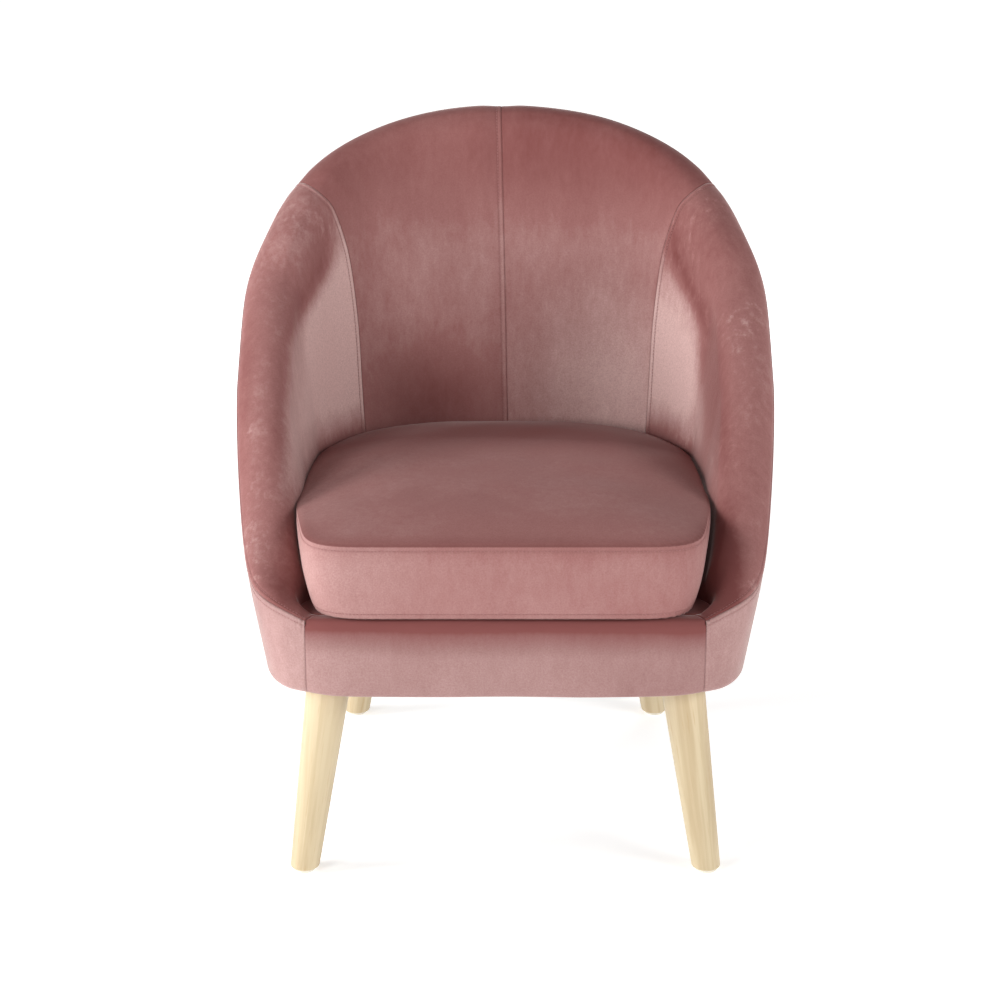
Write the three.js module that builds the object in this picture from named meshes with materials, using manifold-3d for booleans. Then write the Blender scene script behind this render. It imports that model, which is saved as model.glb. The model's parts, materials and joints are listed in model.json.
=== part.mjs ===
// Round-back armchair: a padded tub whose arms sweep up into the back, a loose D-shaped
// seat cushion, and four splayed legs bolted up through the base.
// Millimetres, +Z up. The front faces -Y and the chair is symmetric about x = 0.
import * as THREE from "three";
import { mergeVertices } from "three/addons/utils/BufferGeometryUtils.js";
import Module from "manifold-3d";

// Overall sizes
const OVERALL_HEIGHT = 823;
const OVERALL_WIDTH = 649;
const OVERALL_DEPTH = 605;
const BASE_HEIGHT = 235;
const SEAT_BOX_HEIGHT = 91;
const SIDE_FLARE_WIDTH = 43;
const WIDEST_HEIGHT = 525;
const BACK_LEAN_DEPTH = 24;
const FRONT_DEPTH = 270;
const FRONT_CORNER_WIDTH = 54.5;

// The plan of the tub is a superellipse whose powers change from the boxy front to the round back
const FRONT_WIDTH_POWER = 7;
const BACK_WIDTH_POWER = 3;
const FRONT_DEPTH_POWER = 5.4;
const BACK_DEPTH_POWER = 2.49;
const POWER_BLEND_START = -0.5;
const FLARE_POWER = 1.35;
const PLAN_SAMPLES = 360;
const CORNER_SAMPLE_POWER = 3;

// Height of the rim, as shares of its rise from the deck to the crown, at even steps round the side
const RIM_RISE_SHARES = [0, 0.073, 0.196, 0.344, 0.5, 0.652, 0.79, 0.887, 0.949, 0.988, 1];

// Padded wall
const RIM_THICKNESS = 62;
const RIM_FRONT_THICKNESS = 24;
const RIM_TAPER_SHARE = 0.13;
const ROLL_RADIUS = 31;
const ROLL_FRONT_RADIUS = 9;
const ROLL_GROWTH_SHARE = 0.28;
const ROLL_FRONT_SQUARENESS = 0.65;
const ROLL_ROUND_SHARE = 0.2;
const INNER_ROLL_FRONT_RADIUS = 5;
const INNER_ROLL_GROWTH_SHARE = 0.8;
const ARM_SWELL_DEPTH = 32;
const LUMBAR_SWELL_DEPTH = 50;
const LUMBAR_START_SHARE = 0.4;
const SWELL_START_SHARE = 0.3;
const BOTTOM_EDGE_RADIUS = 9;
const TURN_UNDER_WIDTH = 34;

// Seams between the cover panels, as shares of the way from the front seam to the back centre
const BACK_SEAM_RIM_SHARE = 0.64;
const BACK_SEAM_INSIDE_SHARE = 0.692;
const SEAM_BEND_START_SHARE = 0.9;
const SEAM_BEND_END_SHARE = 1.35;
const RIM_SEAM_RISE_ANGLE = Math.PI / 4;
const RIM_SEAM_FALL_SHARE = 0.12;

// Layers
const FIT_GAP = 0.3;
const COVER_THICKNESS = 1.6;
const PADDING_DEPTH = COVER_THICKNESS + FIT_GAP;
const PLY_DEPTH = 12;
const PLY_THICKNESS = 10;
const PLY_START_SHARE = 0.07;
const RAIL_DEPTH = PLY_DEPTH + PLY_THICKNESS + FIT_GAP;
const FOAM_CLEARANCE = 3.4;
const WADDING_CLEARANCE = 1.6;
const BLOCK_CLEARANCE = 1.4;
const RAIL_THICKNESS = 18;
const BASE_BOARD_THICKNESS = 18;
const BASE_BOARD_WIDTH = 74;
const DECK_PAD_THICKNESS = 20;
const DUST_CLOTH_THICKNESS = 0.8;
const DUST_CLOTH_LAP_WIDTH = 10;
const SPRING_WIRE_DIAMETER = 3.4;
const SPRING_WAVE_WIDTH = 46;
const SPRING_WAVES = 7;
const SPRING_SAMPLES = 44;
const SPRING_SIDES = 4;
const SPRING_END_SHARE = 0.09;
const SPRING_FRONT_SHARES = [-0.75, -0.34];
const SPRING_REAR_SHARES = [0.928, 0.79];

// Loose cushion
const CUSHION_THICKNESS = 88;
const CUSHION_CROWN_HEIGHT = 20;
const CUSHION_BULGE_DEPTH = 4;
const CUSHION_CLEARANCE = 8;
const CUSHION_FRONT_CLEARANCE = 4;
const CUSHION_CORNER_RADIUS = 38;
const CUSHION_CORNER_FLARE_WIDTH = 14;
const CUSHION_SIDE_START_SHARE = 0.2;
const CUSHION_UNDERCUT_HEIGHT = 3;
const SEAM_SINK_DEPTH = 1.2;
const CROWN_POWER = 2.6;
const CUSHION_RINGS = [0.5, 0.8, 0.95];
const BAND_STEPS = 3;
const ZIP_START_SHARE = 0.8;
const SLIDER_WIDTH = 9;
const SLIDER_LENGTH = 13;
const SLIDER_THICKNESS = 2.4;

// Legs and their fixings
const LEG_TOP_RADIUS = 26;
const LEG_FOOT_RADIUS = 17;
const LEG_EDGE_RADIUS = 3;
const LEG_INSET_DEPTH = 52;
const FRONT_LEG_SHARE = -0.02;
const REAR_LEG_SHARE = 0.715;
const FRONT_BLOCK_SHARE = 0.1;
const REAR_BLOCK_SHARE = 0.06;
const FRONT_SPLAY_WIDTH = 33;
const FRONT_SPLAY_DEPTH = 19;
const REAR_SPLAY_WIDTH = 35;
const REAR_SPLAY_DEPTH = 29;
const GLIDE_RADIUS = 12.5;
const GLIDE_THICKNESS = 4;
const BOLT_DIAMETER = 8;
const BOLT_IN_LEG_LENGTH = 36;
const BOLT_ABOVE_BLOCK_LENGTH = 7;
const BORE_CLEARANCE = 0.4;
const BLOCK_HEIGHT_SHARE = 0.71;
const BLOCK_WIDTH = 44;
const NUT_FLANGE_RADIUS = 11;
const NUT_FLANGE_THICKNESS = 1.8;
const NUT_BARREL_RADIUS = 5.6;
const NUT_BARREL_LENGTH = 12;
const TURNED_SIDES = 16;

const smooth = (share) => THREE.MathUtils.smoothstep(share, 0, 1);
const mix = THREE.MathUtils.lerp;
const steps = (from, to, count) =>
  Array.from({ length: count + 1 }, (_, i) => mix(from, to, i / count));

const CENTRE_Y = FRONT_DEPTH - OVERALL_DEPTH / 2;
const BACK_DEPTH = OVERALL_DEPTH - FRONT_DEPTH;
const BASE_WIDTH = OVERALL_WIDTH - 2 * SIDE_FLARE_WIDTH;
const FRONT_SEAM_X = BASE_WIDTH / 2 - FRONT_CORNER_WIDTH;
const DECK_HEIGHT = BASE_HEIGHT + SEAT_BOX_HEIGHT;
const RAIL_FOOT = BASE_HEIGHT + PADDING_DEPTH + BASE_BOARD_THICKNESS + FIT_GAP;
const PAD_FOOT = DECK_HEIGHT - COVER_THICKNESS - FIT_GAP - DECK_PAD_THICKNESS;
const SPRING_HEIGHT = PAD_FOOT - FIT_GAP - SPRING_WIRE_DIAMETER / 2;
const RAIL_TOP = SPRING_HEIGHT - SPRING_WIRE_DIAMETER / 2 - FIT_GAP;
const RAIL_HEIGHT = RAIL_TOP - RAIL_FOOT;
const BLOCK_HEIGHT = RAIL_HEIGHT * BLOCK_HEIGHT_SHARE;
const DUST_CLOTH_FOOT = BASE_HEIGHT - FIT_GAP - DUST_CLOTH_THICKNESS;
const LEG_TOP = DUST_CLOTH_FOOT - FIT_GAP;

const chair = new THREE.Group();
const looks = {
  velvet: { color: 0xa9746f, roughness: 0.85 },
  lining: { color: 0x2b2828, roughness: 0.9 },
  foam: { color: 0xe6dcb4, roughness: 0.9 },
  wadding: { color: 0xeeeeea, roughness: 0.95 },
  plywood: { color: 0xc9a878, roughness: 0.7 },
  timber: { color: 0xbf9a68, roughness: 0.7 },
  leg: { color: 0xdcc59a, roughness: 0.45 },
  steel: { color: 0x9a9da1, roughness: 0.35, metalness: 0.9 },
  glide: { color: 0xe4e0d4, roughness: 0.5 },
};

function add(name, geometry, look) {
  const mesh = new THREE.Mesh(geometry, new THREE.MeshStandardMaterial(looks[look]));
  mesh.name = name;
  chair.add(mesh);
}

// Closed bodies from rows of points.

function solid(points, triangles) {
  const a = new THREE.Vector3();
  const volume = triangles.reduce((sum, [i, j, k]) => {
    a.crossVectors(points[i], points[j]);
    return sum + a.dot(points[k]);
  }, 0);
  const faces = volume < 0 ? triangles.map(([i, j, k]) => [i, k, j]) : triangles;
  const geometry = new THREE.BufferGeometry().setFromPoints(points);
  geometry.setIndex(faces.flat());
  geometry.computeVertexNormals();
  return geometry;
}

// A sheet with thickness: two faces of the same rows and columns, joined round their edges.
// A piece that crosses the centre line has its diagonals turned over on one side of it.
function slab(outer, inner, turned = () => false) {
  const rows = outer.length;
  const columns = outer[0].length;
  const triangles = [];
  const at = (face, i, j) => (face * rows + i) * columns + j;
  const quad = (a, b, c, d) => triangles.push([a, b, c], [a, c, d]);
  for (let i = 0; i < rows - 1; i++)
    for (let j = 0; j < columns - 1; j++)
      for (const face of [0, 1]) {
        const near = [at(face, i, j), at(face, i + 1, j)];
        const corners = [...near, at(face, i + 1, j + 1), at(face, i, j + 1)];
        if (turned(i)) corners.push(corners.shift());
        if (face) corners.reverse();
        if (face) corners.unshift(corners.pop());
        quad(...corners);
      }
  const last = { row: rows - 1, column: columns - 1 };
  for (let i = 0; i < rows - 1; i++) {
    const low = [at(0, i, 0), at(1, i, 0), at(1, i + 1, 0), at(0, i + 1, 0)];
    const high = [0, 1].flatMap((face) =>
      [i + face, i + 1 - face].map((row) => at(face, row, last.column)),
    );
    for (const corners of [low, high]) {
      if (turned(i)) corners.push(corners.shift());
      quad(...corners);
    }
  }
  for (let j = 0; j < columns - 1; j++) {
    quad(at(0, 0, j), at(0, 0, j + 1), at(1, 0, j + 1), at(1, 0, j));
    quad(at(0, last.row, j), at(1, last.row, j), at(1, last.row, j + 1), at(0, last.row, j + 1));
  }
  return solid([...outer.flat(), ...inner.flat()], triangles);
}

// A body of closed rings between two end points
function ringBody(start, rings, end) {
  const sides = rings[0].length;
  const points = [start, ...rings.flat(), end];
  const triangles = [];
  const at = (ring, i) => 1 + ring * sides + (i % sides);
  for (let i = 0; i < sides; i++) {
    triangles.push([0, at(0, i), at(0, i + 1)]);
    triangles.push([points.length - 1, at(rings.length - 1, i + 1), at(rings.length - 1, i)]);
    for (let ring = 0; ring < rings.length - 1; ring++) {
      triangles.push([at(ring, i), at(ring + 1, i), at(ring + 1, i + 1)]);
      triangles.push([at(ring, i), at(ring + 1, i + 1), at(ring, i + 1)]);
    }
  }
  return solid(points, triangles);
}

function plate(outline, holes, foot, thickness) {
  const shape = new THREE.Shape(outline);
  shape.holes = holes.map((hole) => new THREE.Path(hole));
  const geometry = new THREE.ExtrudeGeometry(shape, { depth: thickness, bevelEnabled: false });
  return geometry.translate(0, 0, foot);
}

const manifold = await Module();
manifold.setup();

function toManifold(geometry) {
  const bare = new THREE.BufferGeometry();
  bare.setAttribute("position", geometry.getAttribute("position"));
  bare.setIndex(geometry.getIndex());
  const merged = mergeVertices(bare);
  return new manifold.Manifold(
    new manifold.Mesh({
      numProp: 3,
      vertProperties: merged.attributes.position.array,
      triVerts: new Uint32Array(merged.index.array),
    }),
  );
}

function bored(geometry, cutters) {
  const result = cutters.reduce(
    (body, cutter) => body.subtract(toManifold(cutter)),
    toManifold(geometry),
  );
  const mesh = result.getMesh();
  const made = new THREE.BufferGeometry();
  made.setAttribute("position", new THREE.BufferAttribute(mesh.vertProperties, mesh.numProp));
  made.setIndex(new THREE.BufferAttribute(mesh.triVerts, 1));
  made.computeVertexNormals();
  return made;
}

// The surface of the tub.

// The outline of the tub at one height, from the front centre to the back centre
const levels = new Map();
function level(z) {
  if (levels.has(z)) return levels.get(z);
  const climb = THREE.MathUtils.clamp((z - BASE_HEIGHT) / (WIDEST_HEIGHT - BASE_HEIGHT), 0, 1);
  const flare = 1 - (1 - climb) ** FLARE_POWER;
  const halfWidth = mix(BASE_WIDTH, OVERALL_WIDTH, flare) / 2;
  const crown = OVERALL_HEIGHT - ROLL_RADIUS;
  const back = BACK_DEPTH - BACK_LEAN_DEPTH * (1 - (z - BASE_HEIGHT) / (crown - BASE_HEIGHT));
  const points = steps(0, 1, PLAN_SAMPLES).map((share) => {
    const angle = Math.PI * (share ** CORNER_SAMPLE_POWER - 1 / 2);
    const blend = smooth(angle - POWER_BLEND_START);
    const widthPower = mix(FRONT_WIDTH_POWER, BACK_WIDTH_POWER, blend);
    const depthPower = mix(FRONT_DEPTH_POWER, BACK_DEPTH_POWER, blend);
    const across = Math.max(Math.cos(angle), 0) ** (2 / widthPower);
    const along = Math.abs(Math.sin(angle)) ** (2 / depthPower) * Math.sign(angle);
    return [halfWidth * across, CENTRE_Y + (angle < 0 ? FRONT_DEPTH : back) * along];
  });
  const lengths = [0];
  for (let i = 1; i < points.length; i++) {
    const run = Math.hypot(points[i][0] - points[i - 1][0], points[i][1] - points[i - 1][1]);
    lengths.push(lengths[i - 1] + run);
  }
  const made = { points, lengths, total: lengths.at(-1), seam: 0 };
  const passed = points.findIndex(([x]) => x > FRONT_SEAM_X);
  const [x0] = points[passed - 1];
  const part = (FRONT_SEAM_X - x0) / (points[passed][0] - x0);
  made.seam = mix(lengths[passed - 1], lengths[passed], part);
  levels.set(z, made);
  return made;
}

function alongLevel(outline, length) {
  if (length < 0) return alongLevel(outline, -length).map((v, i) => (i ? v : -v));
  if (length > outline.total) {
    return alongLevel(outline, 2 * outline.total - length).map((v, i) => (i ? v : -v));
  }
  const { points, lengths } = outline;
  let low = 0;
  let high = lengths.length - 1;
  while (high - low > 1) {
    const middle = (low + high) >> 1;
    if (lengths[middle] > length) high = middle;
    else low = middle;
  }
  const part = (length - lengths[low]) / (lengths[high] - lengths[low]);
  return [0, 1].map((i) => mix(points[low][i], points[high][i], part));
}

// A point at a height, a share of the way round and a depth under the surface of a base height.
// Shares run from -1 at the front centre over 0 at the front seam to 1 at the back centre.
function place(baseHeight, share, depth, height) {
  const outline = level(baseHeight);
  const rest = outline.total - outline.seam;
  const length = share < 0 ? outline.seam * (1 + share) : outline.seam + rest * share;
  const reach = outline.total / PLAN_SAMPLES;
  const [x, y] = alongLevel(outline, length);
  const [x0, y0] = alongLevel(outline, length - reach);
  const [x1, y1] = alongLevel(outline, length + reach);
  const run = Math.hypot(x1 - x0, y1 - y0);
  return new THREE.Vector3(x - ((y1 - y0) / run) * depth, y + ((x1 - x0) / run) * depth, height);
}

const foldBack = (share) => (share > 1 ? 2 - share : share);

function rimHeight(share) {
  const last = RIM_RISE_SHARES.length - 1;
  const at = THREE.MathUtils.clamp(foldBack(share), 0, 1) * last;
  const i = Math.min(Math.floor(at), last - 1);
  const rise = (k) => {
    if (k < 0) return 2 * RIM_RISE_SHARES[0] - RIM_RISE_SHARES[1];
    return RIM_RISE_SHARES[k > last ? 2 * last - k : k];
  };
  const [a, b, c, d] = [rise(i - 1), rise(i), rise(i + 1), rise(i + 2)];
  const f = at - i;
  const curve = f * (c - a + f * (2 * a - 5 * b + 4 * c - d + f * (3 * (b - c) + d - a)));
  return mix(DECK_HEIGHT, OVERALL_HEIGHT, b + curve / 2);
}

function rim(share) {
  const t = foldBack(share);
  const top = rimHeight(t);
  const outerRadius = mix(ROLL_FRONT_RADIUS, ROLL_RADIUS, smooth(t / ROLL_GROWTH_SHARE));
  const rise = INNER_ROLL_FRONT_RADIUS + (top - DECK_HEIGHT) * INNER_ROLL_GROWTH_SHARE;
  const lumbar = smooth((t - LUMBAR_START_SHARE) / (1 - LUMBAR_START_SHARE));
  return {
    top,
    outerRadius,
    innerRadius: Math.min(ROLL_RADIUS, rise),
    shoulder: top - outerRadius,
    squareness: mix(ROLL_FRONT_SQUARENESS, 1, smooth(t / ROLL_ROUND_SHARE)),
    thickness: mix(RIM_FRONT_THICKNESS, RIM_THICKNESS, smooth(t / RIM_TAPER_SHARE)),
    swell: mix(ARM_SWELL_DEPTH, LUMBAR_SWELL_DEPTH, lumbar) * smooth(t / SWELL_START_SHARE),
    seamAngle: RIM_SEAM_RISE_ANGLE * (1 - smooth(t / RIM_SEAM_FALL_SHARE)),
  };
}

function rollPoint(share, angle, depth) {
  const r = rim(share);
  const half = r.thickness / 2;
  const across = Math.sign(Math.cos(angle)) * Math.abs(Math.cos(angle)) ** r.squareness;
  const up = Math.max(Math.sin(angle), 0) ** r.squareness;
  const outside = angle <= Math.PI / 2;
  const radius = outside ? r.outerRadius : r.innerRadius;
  return place(
    r.shoulder,
    share,
    half - (half - depth) * across,
    r.top - radius + (radius - depth) * up,
  );
}

function innerDepth(share, height) {
  const r = rim(share);
  const foot = r.top - r.innerRadius;
  const fall = Math.max(foot - DECK_HEIGHT, ROLL_FRONT_RADIUS);
  return r.thickness + r.swell * THREE.MathUtils.clamp((foot - height) / fall, 0, 1);
}

const EDGE_STEPS = 2;
const WALL_STEPS = 4;
const ROLL_STEPS = 8;
const INSIDE_STEPS = 5;

// One column of the outside: under the base, round the bottom edge and up to the rim seam
function outsideColumn(share, depth, withTurn) {
  const radius = BOTTOM_EDGE_RADIUS - depth;
  const column = steps(0, Math.PI / 2, EDGE_STEPS).map((angle) => {
    const height = BASE_HEIGHT + BOTTOM_EDGE_RADIUS - radius * Math.cos(angle);
    return place(height, share, BOTTOM_EDGE_RADIUS - radius * Math.sin(angle), height);
  });
  if (withTurn) {
    const height = BASE_HEIGHT + depth;
    column.unshift(place(height, share, TURN_UNDER_WIDTH, height));
  }
  const foot = BASE_HEIGHT + BOTTOM_EDGE_RADIUS;
  const { shoulder, seamAngle } = rim(share);
  for (const height of steps(foot, shoulder, WALL_STEPS).slice(1, -1)) {
    column.push(place(height, share, depth, height));
  }
  const seam = rollPoint(share, seamAngle, depth);
  seam.z -= FIT_GAP;
  column.push(seam);
  return column;
}

// One column of the inside: from the rim seam over the roll and down behind the cushion
function insideColumn(share, depth) {
  const r = rim(share);
  const column = steps(r.seamAngle, Math.PI, ROLL_STEPS).map((angle) =>
    rollPoint(share, angle, depth),
  );
  const foot = r.top - r.innerRadius;
  const knee = Math.min(DECK_HEIGHT, mix(foot, PAD_FOOT, 1 / 2));
  for (const height of [...steps(foot, knee, INSIDE_STEPS - 1).slice(1), PAD_FOOT]) {
    column.push(place(r.shoulder, share, innerDepth(share, height) - depth, height));
  }
  return column;
}

// Panels cut from the wall by seams.

const mirror = (side) => (point) => new THREE.Vector3(point.x * side, point.y, point.z);
const crowd = (share) => share ** 1.15;

// An edge gives a share for each point along a column; a span runs between two edges
const fixed = (share) => () => share;
const GAP_SHARE = FIT_GAP / 2 / (level(WIDEST_HEIGHT).total - level(WIDEST_HEIGHT).seam);
const FRONT_GAP_SHARE = FIT_GAP / 2 / level(BASE_HEIGHT).seam;
const JOINT_SHARE = 10 * GAP_SHARE;
const ROLL_PART = ROLL_STEPS / (ROLL_STEPS + INSIDE_STEPS);
const rearSeam = (offset) => fixed(BACK_SEAM_RIM_SHARE + offset);
// The seam between arm and back crosses the roll, bends at its foot and then runs down
const insideSeam = (offset) => (along) => {
  const past = Math.max(along - ROLL_PART, 0) / (1 - ROLL_PART);
  const way = Math.min(along / ROLL_PART, 1) + past;
  const bend = (way - SEAM_BEND_START_SHARE) / (SEAM_BEND_END_SHARE - SEAM_BEND_START_SHARE);
  return mix(BACK_SEAM_RIM_SHARE, BACK_SEAM_INSIDE_SHARE, smooth(bend)) + offset;
};

const frontSpan = (offset) => ({
  from: fixed(-1), to: fixed(-offset), count: 5, spacing: (share) => share ** 0.7,
});
const cornerSpan = (start, end) => ({ from: fixed(start), to: fixed(PLY_START_SHARE - end), count: 3 });
const armSpan = (start, seam) => ({
  from: fixed(PLY_START_SHARE + start), to: seam(-GAP_SHARE), count: 11, spacing: crowd,
});
const backSpan = (seam, end, start = GAP_SHARE) => ({ from: seam(start), to: fixed(1 - end), count: 7 });

function rows(spans, columnOf) {
  return spans.flatMap(({ from, to, count, spacing = (part) => part }, k) => {
    const weights = steps(0, 1, count).map(spacing).slice(k ? 1 : 0);
    return weights.map((weight) => {
      const size = columnOf(mix(from(0), to(0), weight)).length;
      return Array.from({ length: size }, (_, j) => {
        const along = j / (size - 1);
        return columnOf(mix(from(along), to(along), weight))[j];
      });
    });
  });
}

const flipRows = (grid) => grid.map((row) => row.map(mirror(-1)));

// A panel of one side, and its twin
function addPair(name, spans, faces, look) {
  const grids = faces.map((face) => rows(spans, face));
  add(`${name}_right`, slab(...grids), look);
  add(`${name}_left`, slab(...grids.map(flipRows)), look);
}

// A panel that crosses the centre line, from the half that starts or ends there
function addAcross(name, spans, faces, look, atStart) {
  const grids = faces.map((face) => {
    const half = rows(spans, face);
    if (atStart) half.reverse();
    return [...half, ...flipRows(half).reverse().slice(1)];
  });
  const middle = (grids[0].length - 1) / 2;
  add(name, slab(...grids, (row) => (atStart ? row < middle : row >= middle)), look);
}

// The velvet covers.

function addCovers() {
  const faces = (columnOf) => [0, COVER_THICKNESS].map((depth) => (share) => columnOf(share, depth));
  const inside = faces(insideColumn);
  const outside = faces((share, depth) => outsideColumn(share, depth, true));
  const apron = faces((share, depth) => [
    ...outsideColumn(share, depth, true).slice(0, -1),
    ...insideColumn(share, depth).slice(0, ROLL_STEPS + 1),
  ]);
  const corner = cornerSpan(GAP_SHARE, 0);
  addPair("inside_arm_cover", [corner, armSpan(0, insideSeam)], inside, "velvet");
  addPair("inside_back_cover", [backSpan(insideSeam, GAP_SHARE)], inside, "velvet");
  addPair("outside_cover", [corner, armSpan(0, rearSeam)], outside, "velvet");
  addAcross("outside_back_cover", [backSpan(rearSeam, 0)], outside, "velvet");
  addAcross("front_rail_cover", [frontSpan(FRONT_GAP_SHARE)], apron, "velvet", true);
}

// Padding and the plywood shell.

// The foam lies on the plywood: each point of its face has one on the board's top or inner face
function foamBack(share) {
  const ledge = rim(share).shoulder + FOAM_CLEARANCE;
  const face = insideColumn(share, PADDING_DEPTH);
  const low = Math.min(mix(face[ROLL_STEPS].z, face[ROLL_STEPS + 1].z, 1 / 2), ledge);
  return face.map((point, j) => {
    const across = (2 * j) / ROLL_STEPS;
    const depth = mix(PLY_DEPTH - FIT_GAP, RAIL_DEPTH + FOAM_CLEARANCE, Math.min(across, 1));
    const fall = mix(ledge, low, THREE.MathUtils.clamp(across - 1, 0, 1));
    const height = j > ROLL_STEPS ? Math.min(point.z, low) : fall;
    return place(height, share, depth, height);
  });
}

function waddingBack(share) {
  const { shoulder } = rim(share);
  return outsideColumn(share, PADDING_DEPTH, false).map((point) => {
    const height = Math.min(point.z, shoulder);
    return place(height, share, PLY_DEPTH - WADDING_CLEARANCE, height);
  });
}

const plyFace = (depth) => (share) => {
  const heights = [BOARD_FOOT, RAIL_FOOT, RAIL_TOP, ...steps(RAIL_TOP, rim(share).shoulder, 3).slice(1)];
  return heights.map((height) => place(height, share, depth, height));
};

function addWall() {
  const foam = [(share) => insideColumn(share, PADDING_DEPTH), foamBack];
  const wadding = [(share) => outsideColumn(share, PADDING_DEPTH, false), waddingBack];
  const plywood = [plyFace(PLY_DEPTH), plyFace(PLY_DEPTH + PLY_THICKNESS)];
  addPair("arm_foam", [armSpan(GAP_SHARE, insideSeam)], foam, "foam");
  addPair("side_wadding", [armSpan(GAP_SHARE, rearSeam)], wadding, "wadding");
  addPair("arm_plywood", [armSpan(GAP_SHARE, rearSeam)], plywood, "plywood");
  addAcross("back_foam", [backSpan(insideSeam, 0, JOINT_SHARE)], foam, "foam");
  addAcross("back_wadding", [backSpan(rearSeam, 0)], wadding, "wadding");
  addAcross("back_plywood", [backSpan(rearSeam, 0)], plywood, "plywood");
}

// The front foam turns both corners and ends where the plywood arms start
function addFrontFoam() {
  const face = (share) => [
    ...outsideColumn(share, PADDING_DEPTH, false).slice(0, -1),
    ...insideColumn(share, PADDING_DEPTH).slice(0, ROLL_STEPS + 1),
  ];
  const back = (share) => {
    const points = face(share);
    const rolled = points.length - 1 - ROLL_STEPS;
    const depth = RAIL_DEPTH - 2 * FIT_GAP;
    const wide = Math.max(innerDepth(share, PAD_FOOT) - 2 * PADDING_DEPTH, depth);
    const end = place(rim(share).shoulder, share, wide, PAD_FOOT);
    return points.map((point, j) => {
      const height = Math.min(point.z, PAD_FOOT);
      return place(height, share, depth, height).lerp(end, Math.max(j - rolled, 0) / ROLL_STEPS);
    });
  };
  addAcross("front_foam", [frontSpan(0), cornerSpan(0, JOINT_SHARE)], [face, back], "foam", true);
}

// The timber base.

const ringFaces = (foot, height, depths) =>
  depths.map((depth) => (share) => [foot, foot + height].map((z) => place(z, share, depth, z)));

const flip = (geometry) => {
  const points = geometry.getAttribute("position");
  const mirrored = Array.from({ length: points.count }, (_, i) =>
    new THREE.Vector3(-points.getX(i), points.getY(i), points.getZ(i)),
  );
  const index = geometry.getIndex().array;
  const triangles = Array.from({ length: index.length / 3 }, (_, i) =>
    Array.from(index.slice(3 * i, 3 * i + 3)),
  );
  return solid(mirrored, triangles);
};

const LEGS = [
  { name: "front", share: FRONT_LEG_SHARE, out: FRONT_SPLAY_WIDTH, along: -FRONT_SPLAY_DEPTH,
    blockSpan: FRONT_BLOCK_SHARE },
  { name: "rear", share: REAR_LEG_SHARE, out: REAR_SPLAY_WIDTH, along: REAR_SPLAY_DEPTH,
    blockSpan: REAR_BLOCK_SHARE },
];
const SIDES = [["left", -1], ["right", 1]];

// A turned piece on the slanting axis of a leg: its rings stay level as it leans
function turned(leg, profile) {
  const top = place(BASE_HEIGHT, leg.share, LEG_INSET_DEPTH, LEG_TOP);
  const centre = (z) => {
    const drop = (LEG_TOP - z) / LEG_TOP;
    return new THREE.Vector3(top.x + leg.out * drop, top.y + leg.along * drop, z);
  };
  const ring = ([radius, z]) =>
    steps(0, 2 * Math.PI, TURNED_SIDES).slice(1).map((angle) => {
      const spoke = new THREE.Vector3(Math.cos(angle) * radius, Math.sin(angle) * radius, 0);
      return spoke.add(centre(z));
    });
  const ends = [profile[0], profile.at(-1)].map(([, z]) => centre(z));
  return ringBody(ends[0], profile.slice(1, -1).map(ring), ends[1]);
}

const rod = (leg, radius, from, to) =>
  turned(leg, [[0, from], [radius, from], [radius, to], [0, to]]);

const BOARD_FOOT = BASE_HEIGHT + PADDING_DEPTH;
const BLOCK_TOP = RAIL_FOOT + BLOCK_HEIGHT;
const BORE_RADIUS = BOLT_DIAMETER / 2 + BORE_CLEARANCE;

// The half outline of a flat piece that follows the tub at the base, at the same stations
function closedOutline(columnOf) {
  const spans = [frontSpan(0), cornerSpan(0, 0), armSpan(0, insideSeam), backSpan(insideSeam, 0)];
  const half = rows(spans, columnOf).map((row) => row.at(-1));
  const other = half.slice(1, -1).reverse().map(mirror(-1));
  return [...half, ...other].map(({ x, y }) => new THREE.Vector2(x, y));
}

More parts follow.
